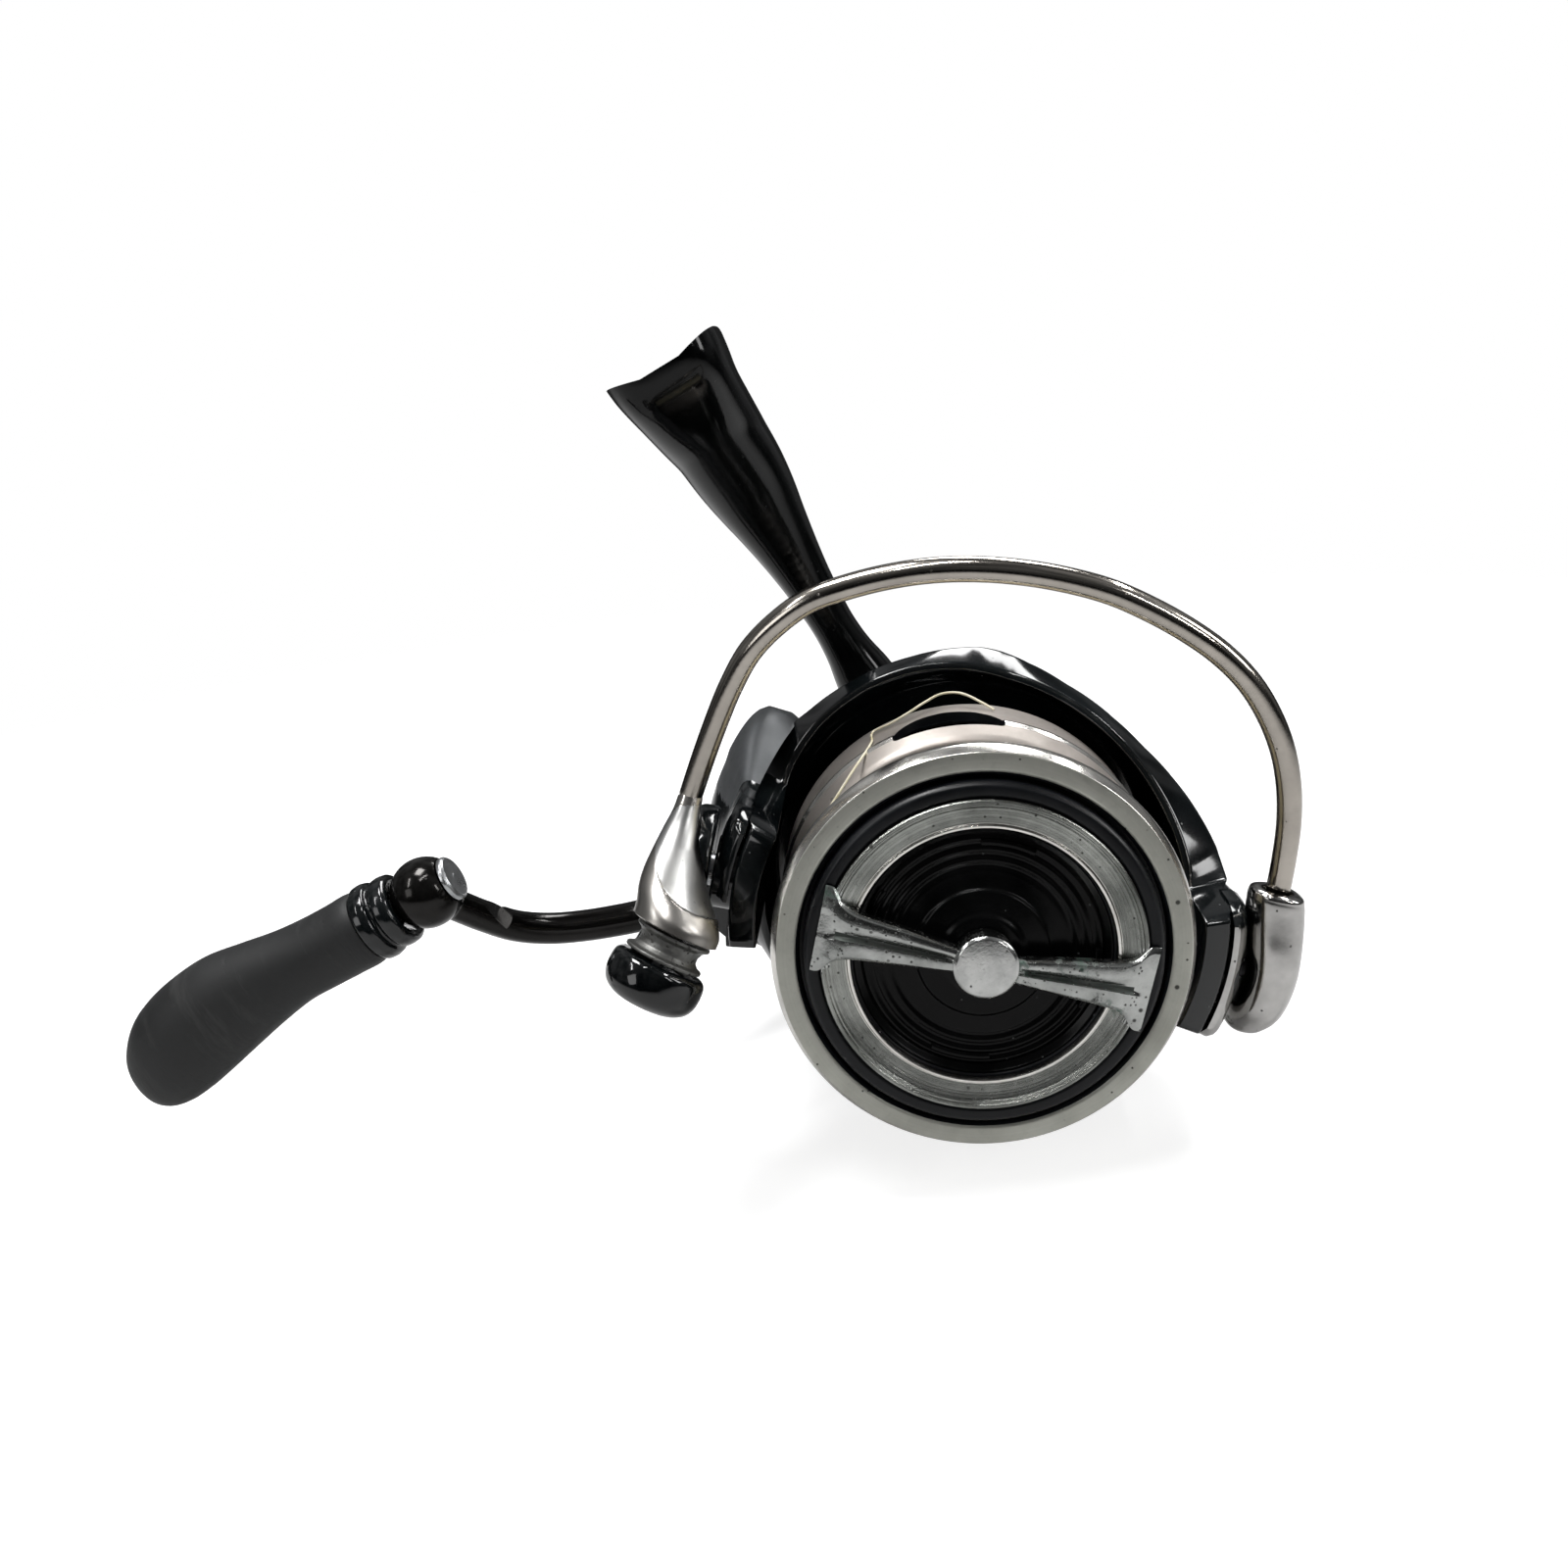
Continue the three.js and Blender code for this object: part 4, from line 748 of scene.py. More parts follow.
cover = copy_of(skin)
tail = copy_of(skin)
body = skin
saddle = loft("saddle", [[(-2.5, y, 72.2), (2.5, y, 72.2), (8.2, y, 73.8), (9.5, y, 74.2), (9.5, y, 82), (-9.5, y, 82), (-9.5, y, 74.2), (-8.2, y, 73.8)] for y in (-60, 30)])
cut(body, block(8.2, 60, -80, 60, -60, 90), block(-60, 60, 17.45, 80, -60, 30), saddle,
    rod(7.35, -22.5, -12), rod(9.95, -22.5, -16.9), x_rod(6.8, -13.5, -5, 0, -8.5), x_rod(4.6, -20, -13, 0, -8.5))
largest(body)
place(body, "reel_body_shell", in_shaft, "body", ["reel_body"], m_stem, 40)

SCREWS = [[-9.5, 7.5], [13.0, 5.8], [13.5, -17.8]]
cut(cover, block(-60, 8.5, -80, 60, -60, 90), block(-60, 60, 17.45, 80, -60, 90), rod(13.35, -23, -12.6), x_rod(4.6, 9, 20, 0, -8.5), x_rod(6.8, 5, 13.5, 0, -8.5))
for y, z in SCREWS:
    boss = about_x(lathe("tool", fillet([(0, 8.6), (3.3, 8.6), (3.3, 11.6), (2.6, 12.3), (0, 12.3)], 0.3, False), 48), y, z)
    fuse(cover, boss)
    cut(cover, x_rod(2.1, 9.5, 22, y, z, 40), x_rod(1.35, 5, 12, y, z, 24))
place(cover, "side_cover_shell", in_shaft, "body", ["side_cover"], m_black, 40)
cut(tail, block(-60, 60, -80, 17.75, -60, 90), block(-60, 60, 10, 80, 30, 90), map_coords(rod(1.3, 18, 27, 32), lambda p: p + [0, 0, -5]), map_coords(rod(2.1, 23.6, 27, 48), lambda p: p + [0, 0, -5]))
place(tail, "tail_cover_shell", in_shaft, "body", ["tail_cover"], m_satin, 40)


def screw(name, r, a, b, shank_r, shank_to, cross=True):
    """A pan head from a to b along the turning axis, its shank running to shank_to."""
    s = 1 if b > a else -1
    o = lathe(name, fillet([(0, b), (r * 0.55, b - 0.04 * s), (r * 0.93, b - 0.32 * s), (r, b - 0.55 * s), (r, a), (shank_r, a), (shank_r, shank_to), (0, shank_to)], 0.14, False), 48)
    for k in range(2 if cross else 1):
        w, l = 0.22, r * 0.68 if cross else r * 1.5
        t = block(-l if k == 0 else -w, l if k == 0 else w, min(b - 0.55 * s, b + s), max(b - 0.55 * s, b + s), -w if k == 0 else -l, w if k == 0 else l)
        cut(o, t)
    return o


for i, (y, z) in enumerate(SCREWS):
    place(about_x(screw("s", 1.75, 9.8, 11.0, 1.0, 4.3), y, z), f"cover_screw_head_{i + 1}", in_shaft, "body", [f"cover_screw_{i + 1}"], m_steel)
place(map_coords(screw("s", 1.7, 23.9, 24.9, 1.0, 20.2), lambda p: p + [0, 0, -5]), "tail_screw_head", in_shaft, "body", ["tail_screw"], m_steel)
cap = lathe("c", fillet([(0, 13.9), (4.1, 13.9), (4.1, 17.3), (6.2, 17.3), (6.2, 18.1), (5.7, 18.5), (4.7, 18.5), (4.4, 18.0), (0, 18.0)], 0.22, False), 96,
            wave=lambda r, y, a: 1 + (0.012 * math.cos(24 * a) if r > 6.0 else 0))
cut(cap, block(-3.4, 3.4, 17.3, 19, -0.65, 0.65))
place(about_x(cap, 0, -8.5), "socket_cap_turned", in_shaft, "body", ["socket_cap"], m_satin)

# ------------------------------------------------------------------ rotor
EDGE = [[0, 6.0, 25.55], [13.6, 6.0, 25.55], [14.6, 6.15, 25.55], [15.3, 7.2, 25.55], [15.8, 14.0, 25.55], [16.6, 15.9, 25.55], [19, 16.6, 25.55], [30, 18.4, 25.55], [45, 21.3, 25.55], [60, 24.4, 25.6],
        [75, 27.7, 25.6], [90, 30.2, 25.7], [100, 30.9, 26.2], [115, 31.0, 26.7], [130, 30.6, 26.8], [145, 29.6, 26.6], [158, 28.4, 26.0], [162.4, 27.2, 25.6], [163.6, 24.0, 25.55], [164.4, 7.4, 25.55], [165.2, 6.2, 25.55], [167, 6.0, 25.55], [180, 6.0, 25.55]]
OUTSIDE = [[-52, 28.6], [-40, 28.6], [-30, 28.35], [-24, 27.7], [-21.5, 26.4], [-19, 24.6], [-17, 22.4], [-15.5, 19.5]]
SIDE = [[0, 0.0], [15, 0.0], [16.6, 2.2], [22, 2.1], [30, 1.2], [40, 0.2], [50, -0.6], [60, -0.8], [74, -0.5], [84, 0.2], [92, 1.1], [98, 1.5], [104, 1.4], [115, 1.1], [130, 0.8], [145, 1.0], [156, 1.8], [163.2, 2.2], [165, 0.0], [180, 0.0]]


def wrap(a):
    w = abs((a % 360 + 540) % 360 - 180)
    return w


def rotor_section(a):
    w = wrap(a)
    e, ri = lin(EDGE, w)[0]
    e += LIP_Y
    arm = 1 - min(1, max(0, (min(w, 180 - w) - ARM_HALF) / 6))
    bevel = 3.4 * (1 - arm) + 0.9 * arm
    side = lin(SIDE, w)[0][0]

    def out(y):
        return lin(OUTSIDE, y)[0][0] + side * min(1, max(0, (-17 - y) / 8))

    y0 = e + bevel
    ya, yb = y0 + (-21.5 - y0) * 0.4, y0 + (-21.5 - y0) * 0.75
    lip = 0.9 * (1 - arm) + 0.4 * arm
    pts = [(ri, e), (ri + lip, e + 0.12), (out(y0), y0), (out(ya), ya), (out(yb), yb), (out(-21.5), -21.5), (out(-19), -19), (out(-17), -17), (19.5, -15.5),
           (16.8, -15.5), (14.8, -22.2), (3.7, -22.2), (3.7, -24), (24.4, -24), (R_IN, -25.6), (R_IN, max(e + 2.0, -51) if e + 2 < -26 else -25.8)]
    rr = [0.22, 0.30, 0.45, 0.3, 0.6, 0.8, 0.8, 0.8, 0.5, 0.5, 0.8, 0.2, 0.2, 0.5, 0.3, 0.2]
    return fillet(pts, rr, True, 3)


angs = np.unique(np.r_[np.arange(0, 360, 1.5), *[c + np.arange(-3.2, 3.21, 0.35) for c in (15.4, 163.8, 360 - 15.4, 360 - 163.8)]])
rings = []
for a in angs:
    rings.append([(r * cos(rad(a)), y, r * sin(rad(a))) for r, y in rotor_section(a)])
rotor = around("rotor", rings)
hub = lathe("hub", fillet([(19.0, LIP_Y + 21.0), (20.6, LIP_Y + 21.0), (20.6, -23.6), (19.0, -23.6)], 0.25), 120)
fuse(rotor, hub)
# round bosses on both arms for the bail pivots
fuse(rotor, *[about_x(lathe("tool", fillet([(0, s * 27.2), (4.25, s * 27.2), (4.25, s * e), (0, s * e)], 0.35, False), 72), PIVOT_Y, 0) for s, e in ((1, 30.6), (-1, 31.1))])
cut(rotor, x_rod(1.3, 27.2, 32, PIVOT_Y, 0, 32), x_rod(2.2, -33, -27.4, PIVOT_Y, 0, 32), block(-30, -26.2, -37, -26.5, -1.3, 1.3))
place(rotor, "rotor_cup", in_rotor, "rotor", ["rotor"], m_black, 36)


def arm_cover(name, side):
    """Shell on the outside of an arm: flat and thin in front, a wedge behind."""
    HALF = [[-51.0, 12.5], [-49.5, 15.0], [-43, 16.6], [-38, 17.5], [-34, 21.5], [-30.5, 25.5], [-27.5, 29], [-24.5, 31], [-22, 31], [-20.2, 29]]
    THICK = [[-51.0, 0.5], [-50.2, 1.5], [-49.0, 2.0], [-38, 2.1], [-34, 2.0], [-30.5, 2.0], [-27.5, 2.1], [-24.5, 2.1], [-22, 1.7], [-20.2, 0.7]]
    if side < 0:
        THICK = [[-51.0, 0.5], [-50.2, 1.5], [-49.0, 2.0], [-38, 2.1], [-34, 3.2], [-30.5, 4.4], [-27.5, 5.1], [-24.5, 5.2], [-22, 4.3], [-20.2, 2.0]]
    ys = np.unique(np.r_[np.linspace(-51.0, -49, 8), np.linspace(-49, -25.3, 40), -25.0, np.linspace(-24.7, -20.2, 9)])
    n = 34
    rings = []
    for y in ys:
        half = spl(HALF, y)[0][0]
        th = max(0.45, spl(THICK, y)[0][0])
        # below the arm on the lever side the cover stays back, out of the way of the opening lever
        low = -half if side > 0 or y > -24.9 else max(-half, -4.0)
        high = half if side < 0 or y < -43 else min(half, 16.0)
        t = np.linspace(low, high, n)
        crown = np.sqrt(np.clip(1 - np.abs(t / (np.where(t > 0, high, half) + 0.2)) ** 14, 0, 1))
        near = np.clip((t - low) / 1.2, 0, 1) if low > -half else 1
        base = lin(OUTSIDE, y)[0][0] + 0.38 + np.clip((np.abs(t) - 14) / 3, 0, 1) * 0.25 + 0.6 * max(0, (y + 30) / 10)
        a = np.radians(t)
        ro = base + 0.4 + (th - 0.4) * crown * (near ** 0.5)
        outer_pts = np.stack([side * ro * np.cos(a), np.full(n, y), ro * np.sin(a)], 1)
        inner_pts = np.stack([side * base * np.cos(a), np.full(n, y), base * np.sin(a)], 1)[::-1]
        rings.append(np.r_[outer_pts, inner_pts])
    o = loft(name, rings)
    cut(o, x_rod(4.6, *sorted((side * 26, side * 40)), PIVOT_Y, 0, 64))
    return o


def cover_pick(side):
    """Black where the cover runs on from the rim, grey elsewhere."""
    def pick(c, n):
        t = rad(ROTOR_TURN)
        zp = c[:, 0] * sin(t) + c[:, 2] * cos(t)
        return ((c[:, 1] < -37.2) | (zp < 5.0)).astype(int) if side < 0 else ((zp > 6.4) & (c[:, 1] < -23)).astype(int)
    return pick


for side, nm, node in ((-1, "lever_arm_cover_shell", "lever_arm_cover"), (1, "holder_arm_cover_shell", "holder_arm_cover")):
    place(arm_cover(nm, side), nm, in_rotor, "rotor", [node], [m_cover if side < 0 else m_hold, m_black], 40,
          cover_pick(side))


# ------------------------------------------------------------------ bail
def P(x, rel, z):
    return np.array([x, LIP_Y + rel, z], float)


def lean(x, v):
    return P(x, 12 - cos(rad(BAIL_LEAN)) * v, sin(rad(BAIL_LEAN)) * v)


WIRE = [[-35.15, 9.4], [-34.4, 14.5], [-33.6, 19.2], [-32.6, 24.0], [-31.1, 28.6], [-28.5, 32.7], [-25.9, 35.5], [-23.1, 37.3], [-18.8, 39.5], [-14.3, 41.2], [-9.7, 42.3],
        [-4.9, 42.9], [-0.1, 43.0], [4.6, 42.6], [9.2, 41.5], [13.6, 40.0], [17.7, 38.1], [21.4, 35.6], [24.6, 32.4], [27.3, 28.7], [29.4, 24.5], [30.9, 20.1], [31.9, 15.5], [32.75, 10.4]]
wire = sweep("wire", curve([lean(x, v) for x, v in WIRE], 160), lambda t: (WIRE_R, WIRE_R), (0, 1, 0.27), 32)
place(wire, "bail_wire_tube", in_rotor, "bail", ["bail_wire"], m_wire, 50)

U = np.array([-0.26, -0.25, -0.93])
U /= np.linalg.norm(U)
BASE = P(-33.85, 1.0, -4.3)
s1 = np.array([1.0, 0, 0]) - U * U[0]
s1 /= np.linalg.norm(s1)
s2 = np.cross(U, s1)


def on_roller(o, shift=0.0):
    s3 = np.cross(s1, U)
    return map_coords(o, lambda p: BASE + s1 * (0.2 + shift) + np.outer(p[:, 0], s1) + np.outer(p[:, 1], U) + np.outer(p[:, 2], s3))


CONE = [  # share along, centre, radii
    [0.0, *P(-35.15, 9.55, 8.9), 1.42, 1.42], [0.1, *P(-35.2, 9.0, 7.4), 1.62, 1.62], [0.25, *P(-35.15, 8.1, 5.2), 2.35, 2.2], [0.42, *P(-34.95, 6.5, 2.6), 3.3, 3.1],
    [0.6, *P(-34.55, 4.5, 0.2), 4.25, 4.1], [0.76, *P(-34.05, 2.75, -1.7), 4.9, 4.8], [0.88, *P(-33.72, 1.6, -3.1), 5.1, 5.05], [1.0, *BASE, 5.05, 5.0]]
rings = []
steps = np.r_[np.linspace(0, 0.9, 90), np.linspace(0.91, 0.985, 10), 1.0]
for t in steps:
    q = spl(CONE, t)[0]
    c, ra, rb = q[:3], q[3], q[4]
    w = min(1, max(0, t / 0.8))
    axis = np.array([0.05, -0.35, -0.93]) * (1 - w) + U * w
    axis /= np.linalg.norm(axis)
    e1 = np.array([1.0, 0, 0]) - axis * axis[0]
    e1 /= np.linalg.norm(e1)
    e2 = np.cross(axis, e1)
    a = np.linspace(0, 2 * math.pi, 112, endpoint=False)
    if t == 1.0:
        ra, rb = ra - 0.35, rb - 0.35
    rings.append(c + np.outer(np.cos(a) * ra, e1) + np.outer(np.sin(a) * rb, e2))
cone = loft("cone", rings)
place_cone_later = cone

roller = lathe("roller", fillet([(2.9, 0.3), (4.35, 0.3), (4.35, 0.62), (3.75, 1.0), (3.45, 1.7), (3.5, 2.3), (3.9, 2.75), (4.5, 3.0), (4.5, 3.35), (2.9, 3.35)], 0.12), 96)
place(on_roller(roller), "line_roller_turned", in_rotor, "line_roller", ["line_roller"], m_pitted, 40)

arm = merge("lever", [
    about_x(lathe("d", fillet([(0, -34.3), (7.0, -34.3), (7.5, -33.6), (7.5, -31.5), (0, -31.5)], 0.5, False), 72), PIVOT_Y, 0),
    loft("a", [[P(-32.8 + x * 1.0, 12.2 + s * 0.86, 0.5 - s * 0.35) for x, s in zip(*superellipse(40, 1.4, 6.4, 3))],
               [P(-33.4 + x, 11.6 + s * 0.85, -3.0 - s * 0.42) for x, s in zip(*superellipse(40, 1.5, 6.2, 3))],
               [P(-34.6 + x, 10.2 + s * 0.8, -6.2 - s * 0.5) for x, s in zip(*superellipse(40, 1.7, 5.6, 3))],
               [P(-36.1 + x, 8.0 + s * 0.75, -8.4 - s * 0.6) for x, s in zip(*superellipse(40, 2.0, 4.9, 3))],
               [P(-36.6 + x, 5.2 + s * 0.7, -10.2 - s * 0.62) for x, s in zip(*superellipse(40, 2.5, 4.3, 2.6))],
               [P(-35.9 + x, 2.4 + s * 0.7, -11.0 - s * 0.62) for x, s in zip(*superellipse(40, 2.6, 3.6, 2.4))]]),
    on_roller(lathe("k", fillet([(0, 3.75), (4.9, 3.75), (5.45, 4.2), (5.6, 5.4), (5.5, 6.9), (4.9, 8.0), (3.6, 8.75), (1.5, 9.05), (0, 9.1)], 0.6, False), 72), 0.1),
])
melt(arm, 0.3, 6)
rings = []
for t in np.linspace(0, 1, 24):
    q = spl(CONE, t)[0]
    a = np.linspace(0, 2 * math.pi, 48, endpoint=False)
    rings.append(q[:3] + np.outer(np.cos(a) * (q[3] + 0.22), s1) + np.outer(np.sin(a) * (q[4] + 0.22), s2))
cut(arm, loft("room", rings), on_roller(lathe("t", [(0, -0.6), (4.85, -0.6), (4.85, 3.65), (0, 3.65)], 64)), on_roller(lathe("t", [(0, 0), (1.2, 0), (1.2, 8.1), (0, 8.1)], 32)),
    about_x(lathe("t", [(0, -40), (2.3, -40), (2.3, -30), (0, -30)], 40), PIVOT_Y, 0), about_x(lathe("t", [(0, -42), (3.0, -42), (3.0, -33.3), (0, -33.3)], 64), PIVOT_Y, 0))


def biggest(o):
    """Keep only the largest separate body of a mesh."""
    n = len(o.data.vertices)
    parent = list(range(n))

    def find(i):
        while parent[i] != i:
            parent[i] = parent[parent[i]]
            i = parent[i]
        return i

    for e in o.data.edges:
        a, b = find(e.vertices[0]), find(e.vertices[1])
        if a != b:
            parent[a] = b
    roots = np.array([find(i) for i in range(n)])
    vals, counts = np.unique(roots, return_counts=True)
    best = vals[counts.argmax()]
    keep = roots == best
    idx = np.cumsum(keep) - 1
    V = coords(o)[keep]
    F = [tuple(idx[v] for v in p.vertices) for p in o.data.polygons if keep[p.vertices[0]]]
    name = o.name
    drop(o)
    return mesh_object(name, V, F)


arm = biggest(arm)
place(arm, "bail_lever_arm", in_rotor, "bail", ["bail_lever"], m_black, 40)
screw_l = about_x(screw("s", 2.6, -33.65, -34.4, 1.9, -28.0), PIVOT_Y, 0)
place(screw_l, "lever_pivot_screw_head", in_rotor, "bail", ["lever_pivot_screw"], m_steel)

HOLDER = [[-7.4, 33.5, 12.8, 0.8, 1.5], [-7.0, 33.6, 12.8, 1.6, 3.0], [-6.0, 34.0, 12.7, 2.3, 4.1], [-4.4, 34.3, 12.4, 2.8, 5.1], [-2.2, 34.55, 12.1, 3.0, 5.6],
          [1.3, 34.5, 11.6, 3.15, 5.6], [4.0, 34.1, 11.0, 3.2, 5.0], [6.6, 33.6, 10.4, 3.2, 4.2], [8.8, 33.1, 9.9, 3.15, 3.6], [10.0, 32.8, 9.6, 3.05, 3.3], [10.7, 32.7, 9.45, 2.75, 2.95], [10.95, 32.68, 9.4, 2.2, 2.4]]
zs = np.r_[np.linspace(-7.4, -6, 8), np.linspace(-5.9, 9.9, 60), np.linspace(10.0, 10.95, 9)]
rings = []
for z, (x, y, a, b) in zip(zs, spl(HOLDER, zs)):
    u, w = superellipse(72, a, b, 2.5)
    rings.append(np.stack([x + u, LIP_Y + y + w, np.full(72, z)], 1))
holder = loft("holder", rings)
sock = sweep("sock", [lean(32.35, 12.9), lean(32.9, 9.2)], lambda t: (1.85, 1.85), (0, 1, 0.27), 40, ends=False)
cut(holder, sock, about_x(lathe("t", [(0, 26), (1.3, 26), (1.3, 34.4), (0, 34.4)], 40), PIVOT_Y, 0))
place(holder, "bail_holder_cap", in_rotor, "bail", ["bail_holder"], m_hold, 40)

# ------------------------------------------------------------------ spool
def S(rows):
    return [(r, y + LIP_Y) for r, y in rows]


prof = [(20.8, 0), (22.75, 0), (23.45, 1.3), (23.5, 2.3), (22.9, 3.1), (21.6, 3.45), (17.0, 4.3), (16.5, 4.8), (16.5, 12.7), (21.0, 13.6), (21.6, 14.2), (22.75, 16.2), (23.0, 16.6), (23.0, 17.1), (22.8, 17.4), (22.9, 26.1), (22.5, 26.5),
        (21.8, 26.5), (21.8, 17.9), (15.4, 15.4), (6.4, 15.4), (6.4, 17.0), (5.0, 17.0), (5.0, 13.4), (2.6, 13.4), (2.6, 11.9), (14.7, 11.9), (14.7, 1.9), (20.3, 1.9), (20.3, 0.5)]
rr = [0.25, 0.12, 0.35, 0.5, 0.5, 0.6, 0.4, 0.4, 0.3, 0.3, 0.3, 0.15, 0.1, 0.1, 0.1, 0.3, 0.2, 0.2, 0.4, 0.4] + [0.15] * 10
spool = lathe("spool", S(fillet(prof, rr, True, 3)), 168)
WINDOW = [[-6.75, 15.75], [6.75, 15.75], [6.5, 17.4], [5.6, 19.4], [3.4, 21.3], [0, 22.1], [-3.4, 21.3], [-5.6, 19.4], [-6.5, 17.4]]
win = fillet(WINDOW, 1.1, True, 6)
for i in range(4):
    a = rad(21.5 + 90 * i)
    ring0 = [np.array([x, y + LIP_Y, 17.5]) for x, y in win]
    ring1 = [np.array([x, y + LIP_Y, 26.0]) for x, y in win]
    t = loft("w", [ring0, ring1])
    map_coords(t, lambda p: np.stack([p[:, 0] * cos(a) + p[:, 2] * sin(a), p[:, 1], -p[:, 0] * sin(a) + p[:, 2] * cos(a)], 1))
    cut(spool, t)


def spool_pick(c, n):
    r = np.hypot(c[:, 0], c[:, 2])
    rel = c[:, 1] - LIP_Y
    k = np.full(len(c), 1)
    k[(rel < 0.6) & (r > 20.2)] = 0
    # slot 2 paints the lip bevel, the raised step and the rear rim in lighter metal: painted highlight lines, on the
    # lip bevel also its polished finish
    k[(rel >= 0.05) & (rel < 2.9) & (r > 22.7)] = 2
    k[(rel > 16.1) & (rel < 17.3) & (r > 22.6)] = 2
    k[(rel > 26.0) & (r > 22.3)] = 2
    k[(r < 20.6) & (rel < 3.5)] = 3
    k[(r < 16) & (rel < 16)] = 3
    out = (n[:, 0] * c[:, 0] + n[:, 2] * c[:, 2]) / np.maximum(r, 1e-6)
    k[(rel > 14.3) & (r < 22.7) & ((out < 0.1) | (n[:, 1] > 0.3))] = 3
    return k


place(spool, "spool_turned", in_shaft, "spool", ["spool"], [m_lip, m_skirt, m_polished_edge_and_highlight, m_satin], 28, spool_pick)

rows = []
top = lambda y: float(np.interp(y, [5.2, 6.2, 8, 10.5, 12.45], [20.7, 21.05, 21.25, 21.0, 20.5]))
y, k = 5.2, 0
while y < 12.45 - 0.12:
    for j in range(5):
        t = j / 5 * math.pi
        yy = y + 0.29 * j / 5
        rows.append((top(yy) + 0.11 * math.sin(t), yy))
    y += 0.29
rows = [(16.95, 5.2)] + rows + [(20.45, 12.45), (16.95, 12.45)]
line = lathe("line", S(rows), 120, wave=lambda r, y, a: 1 + (0.0035 * math.sin(2 * a + y * 3.1) + 0.002 * math.sin(7 * a - y * 9)) * (r > 18))
place(line, "wound_line", in_shaft, "spool", ["line_pack"], m_line, 60)

# ------------------------------------------------------------------ drag knob
ripples = []
for r in np.linspace(9.6, 13.5, 40):
    ripples.append((r, 1.05 + 0.10 * math.sin(r * 5.2)))
knob_prof = fillet([(2.0, -0.25), (4.3, -0.25), (4.9, 0.15), (7.2, 0.35), (7.5, 0.75), (9.2, 1.0)], 0.25, False, 3) + ripples + fillet(
    [(13.7, 1.0), (14.25, 0.7), (14.35, 0.25), (17.9, -0.45), (18.2, -0.85), (19.3, -0.85), (19.78, -0.3), (19.75, 1.5), (15.5, 1.7), (9.6, 2.0), (9.6, 4.4), (4.3, 4.4), (4.3, 1.9), (2.0, 1.9)], 0.25, False, 3)
knob = lathe("knob", S(knob_prof), 144)
place(knob, "drag_knob_body", in_shaft, "drag_knob", ["drag_knob"], [m_satin, m_dish], 30,
      lambda c, n: (np.hypot(c[:, 0], c[:, 2]) < 14.3).astype(int))
# four raised arcs in the dish, part of the knob
arcs = []
for i, (a0, a1, r) in enumerate([(35, 62, 12.6), (118, 150, 12.9), (215, 245, 12.5), (300, 332, 12.8)]):
    pts = np.array([(r * cos(rad(a)), LIP_Y + 0.95, r * sin(rad(a))) for a in np.linspace(a0, a1, 24)])
    arcs.append(sweep("arc", pts, lambda t: (0.42, 0.22), (0, 1, 0), 16))
place(merge("arcs", arcs), "drag_knob_ribs", in_shaft, "drag_knob", [], m_dish, 50)

tr = lathe("tr", S(fillet([(14.45, -0.1), (14.5, -0.3), (14.62, -0.68), (14.92, -0.72), (15.08, -0.42), (16.95, -0.92), (17.1, -1.10), (17.3, -1.10), (17.42, -1.34), (17.75, -1.36), (17.9, -1.15), (17.95, -0.78), (17.0, -0.55), (15.0, -0.1)], 0.06, True, 2)), 168)
TAB = [[18.5, 4.95, -1.1, -1.55], [18.2, 4.98, -1.1, -1.6], [17.5, 4.85, -1.08, -1.72], [17.0, 4.35, -1.0, -1.88], [16.4, 3.6, -0.95, -2.1], [15.6, 3.05, -0.92, -2.32], [14.8, 2.78, -0.9, -2.5], [13.5, 2.55, -0.9, -2.65], [10, 2.2, -1.3, -3.0], [7, 1.85, -1.7, -3.35], [4.5, 1.55, -2.1, -3.65], [3.2, 1.35, -2.3, -3.78], [2.4, 1.2, -2.4, -3.78]]
parts = [tr]
for side in (1, -1):
    xs = np.r_[np.linspace(2.4, 14.5, 26), np.linspace(14.8, 18.45, 22)]
    vals = spl(TAB[::-1], xs)
    rings = []
    for x, (w, rear, front) in zip(xs, vals):
        v = 0.5 * min(1, max(0, (17.6 - x) / 2.2)) * min(1, max(0, (x - 2.4) / 2.0)) + 0.05
        b = min(0.5, 0.55 * (rear - front))
        v = min(v, 0.6 * (rear - front))
        sec = fillet([(-w, rear), (w, rear), (w, front + b), (w * 0.86, front + 0.06), (w * 0.50, front), (w * 0.36, front + 0.05), (w * 0.04, front + v), (-w * 0.08, front + v), (-w * 0.13, front + v * 0.7), (-w * 0.19, front + 0.02), (-w * 0.8, front + 0.10), (-w, front + b)], 0.08, True, 2)
        rings.append([(side * x, LIP_Y + y, z) for z, y in sec])
    parts.append(loft("sp", rings))
hub = lathe("h", S(fillet([(0, -0.6), (3.3, -0.6), (3.5, -2.4), (3.5, -3.55), (0, -3.55)], 0.15, False, 3)), 72)
parts.append(hub)
trim = parts[0]
fuse(trim, *parts[1:])


def trim_pick(c, n):
    t = rad(ROTOR_TURN)
    xp = c[:, 0] * cos(t) - c[:, 2] * sin(t)
    zp = c[:, 0] * sin(t) + c[:, 2] * cos(t)
    r = np.hypot(xp, zp)
    k = ((r > 14.2) & (c[:, 1] - LIP_Y > -1.40) & (np.abs(zp) > 2.6 + 2.6 * np.clip((np.abs(xp) - 15.5) / 1.6, 0, 1))).astype(int)
    w = np.interp(np.abs(xp), [3, 8, 13.5, 17], [1.35, 1.95, 2.6, 4.3])
    side = zp / w
    # the ring's inner edge gets the lighter edge metal: a painted highlight line
    k[(k == 1) & (r < 15.15)] = 3
    k[(side > -0.175) & (side < 0.03) & (np.abs(xp) > 4.2) & (np.abs(xp) < 16.6) & (n[:, 1] < 0.2)] = 2
    return k


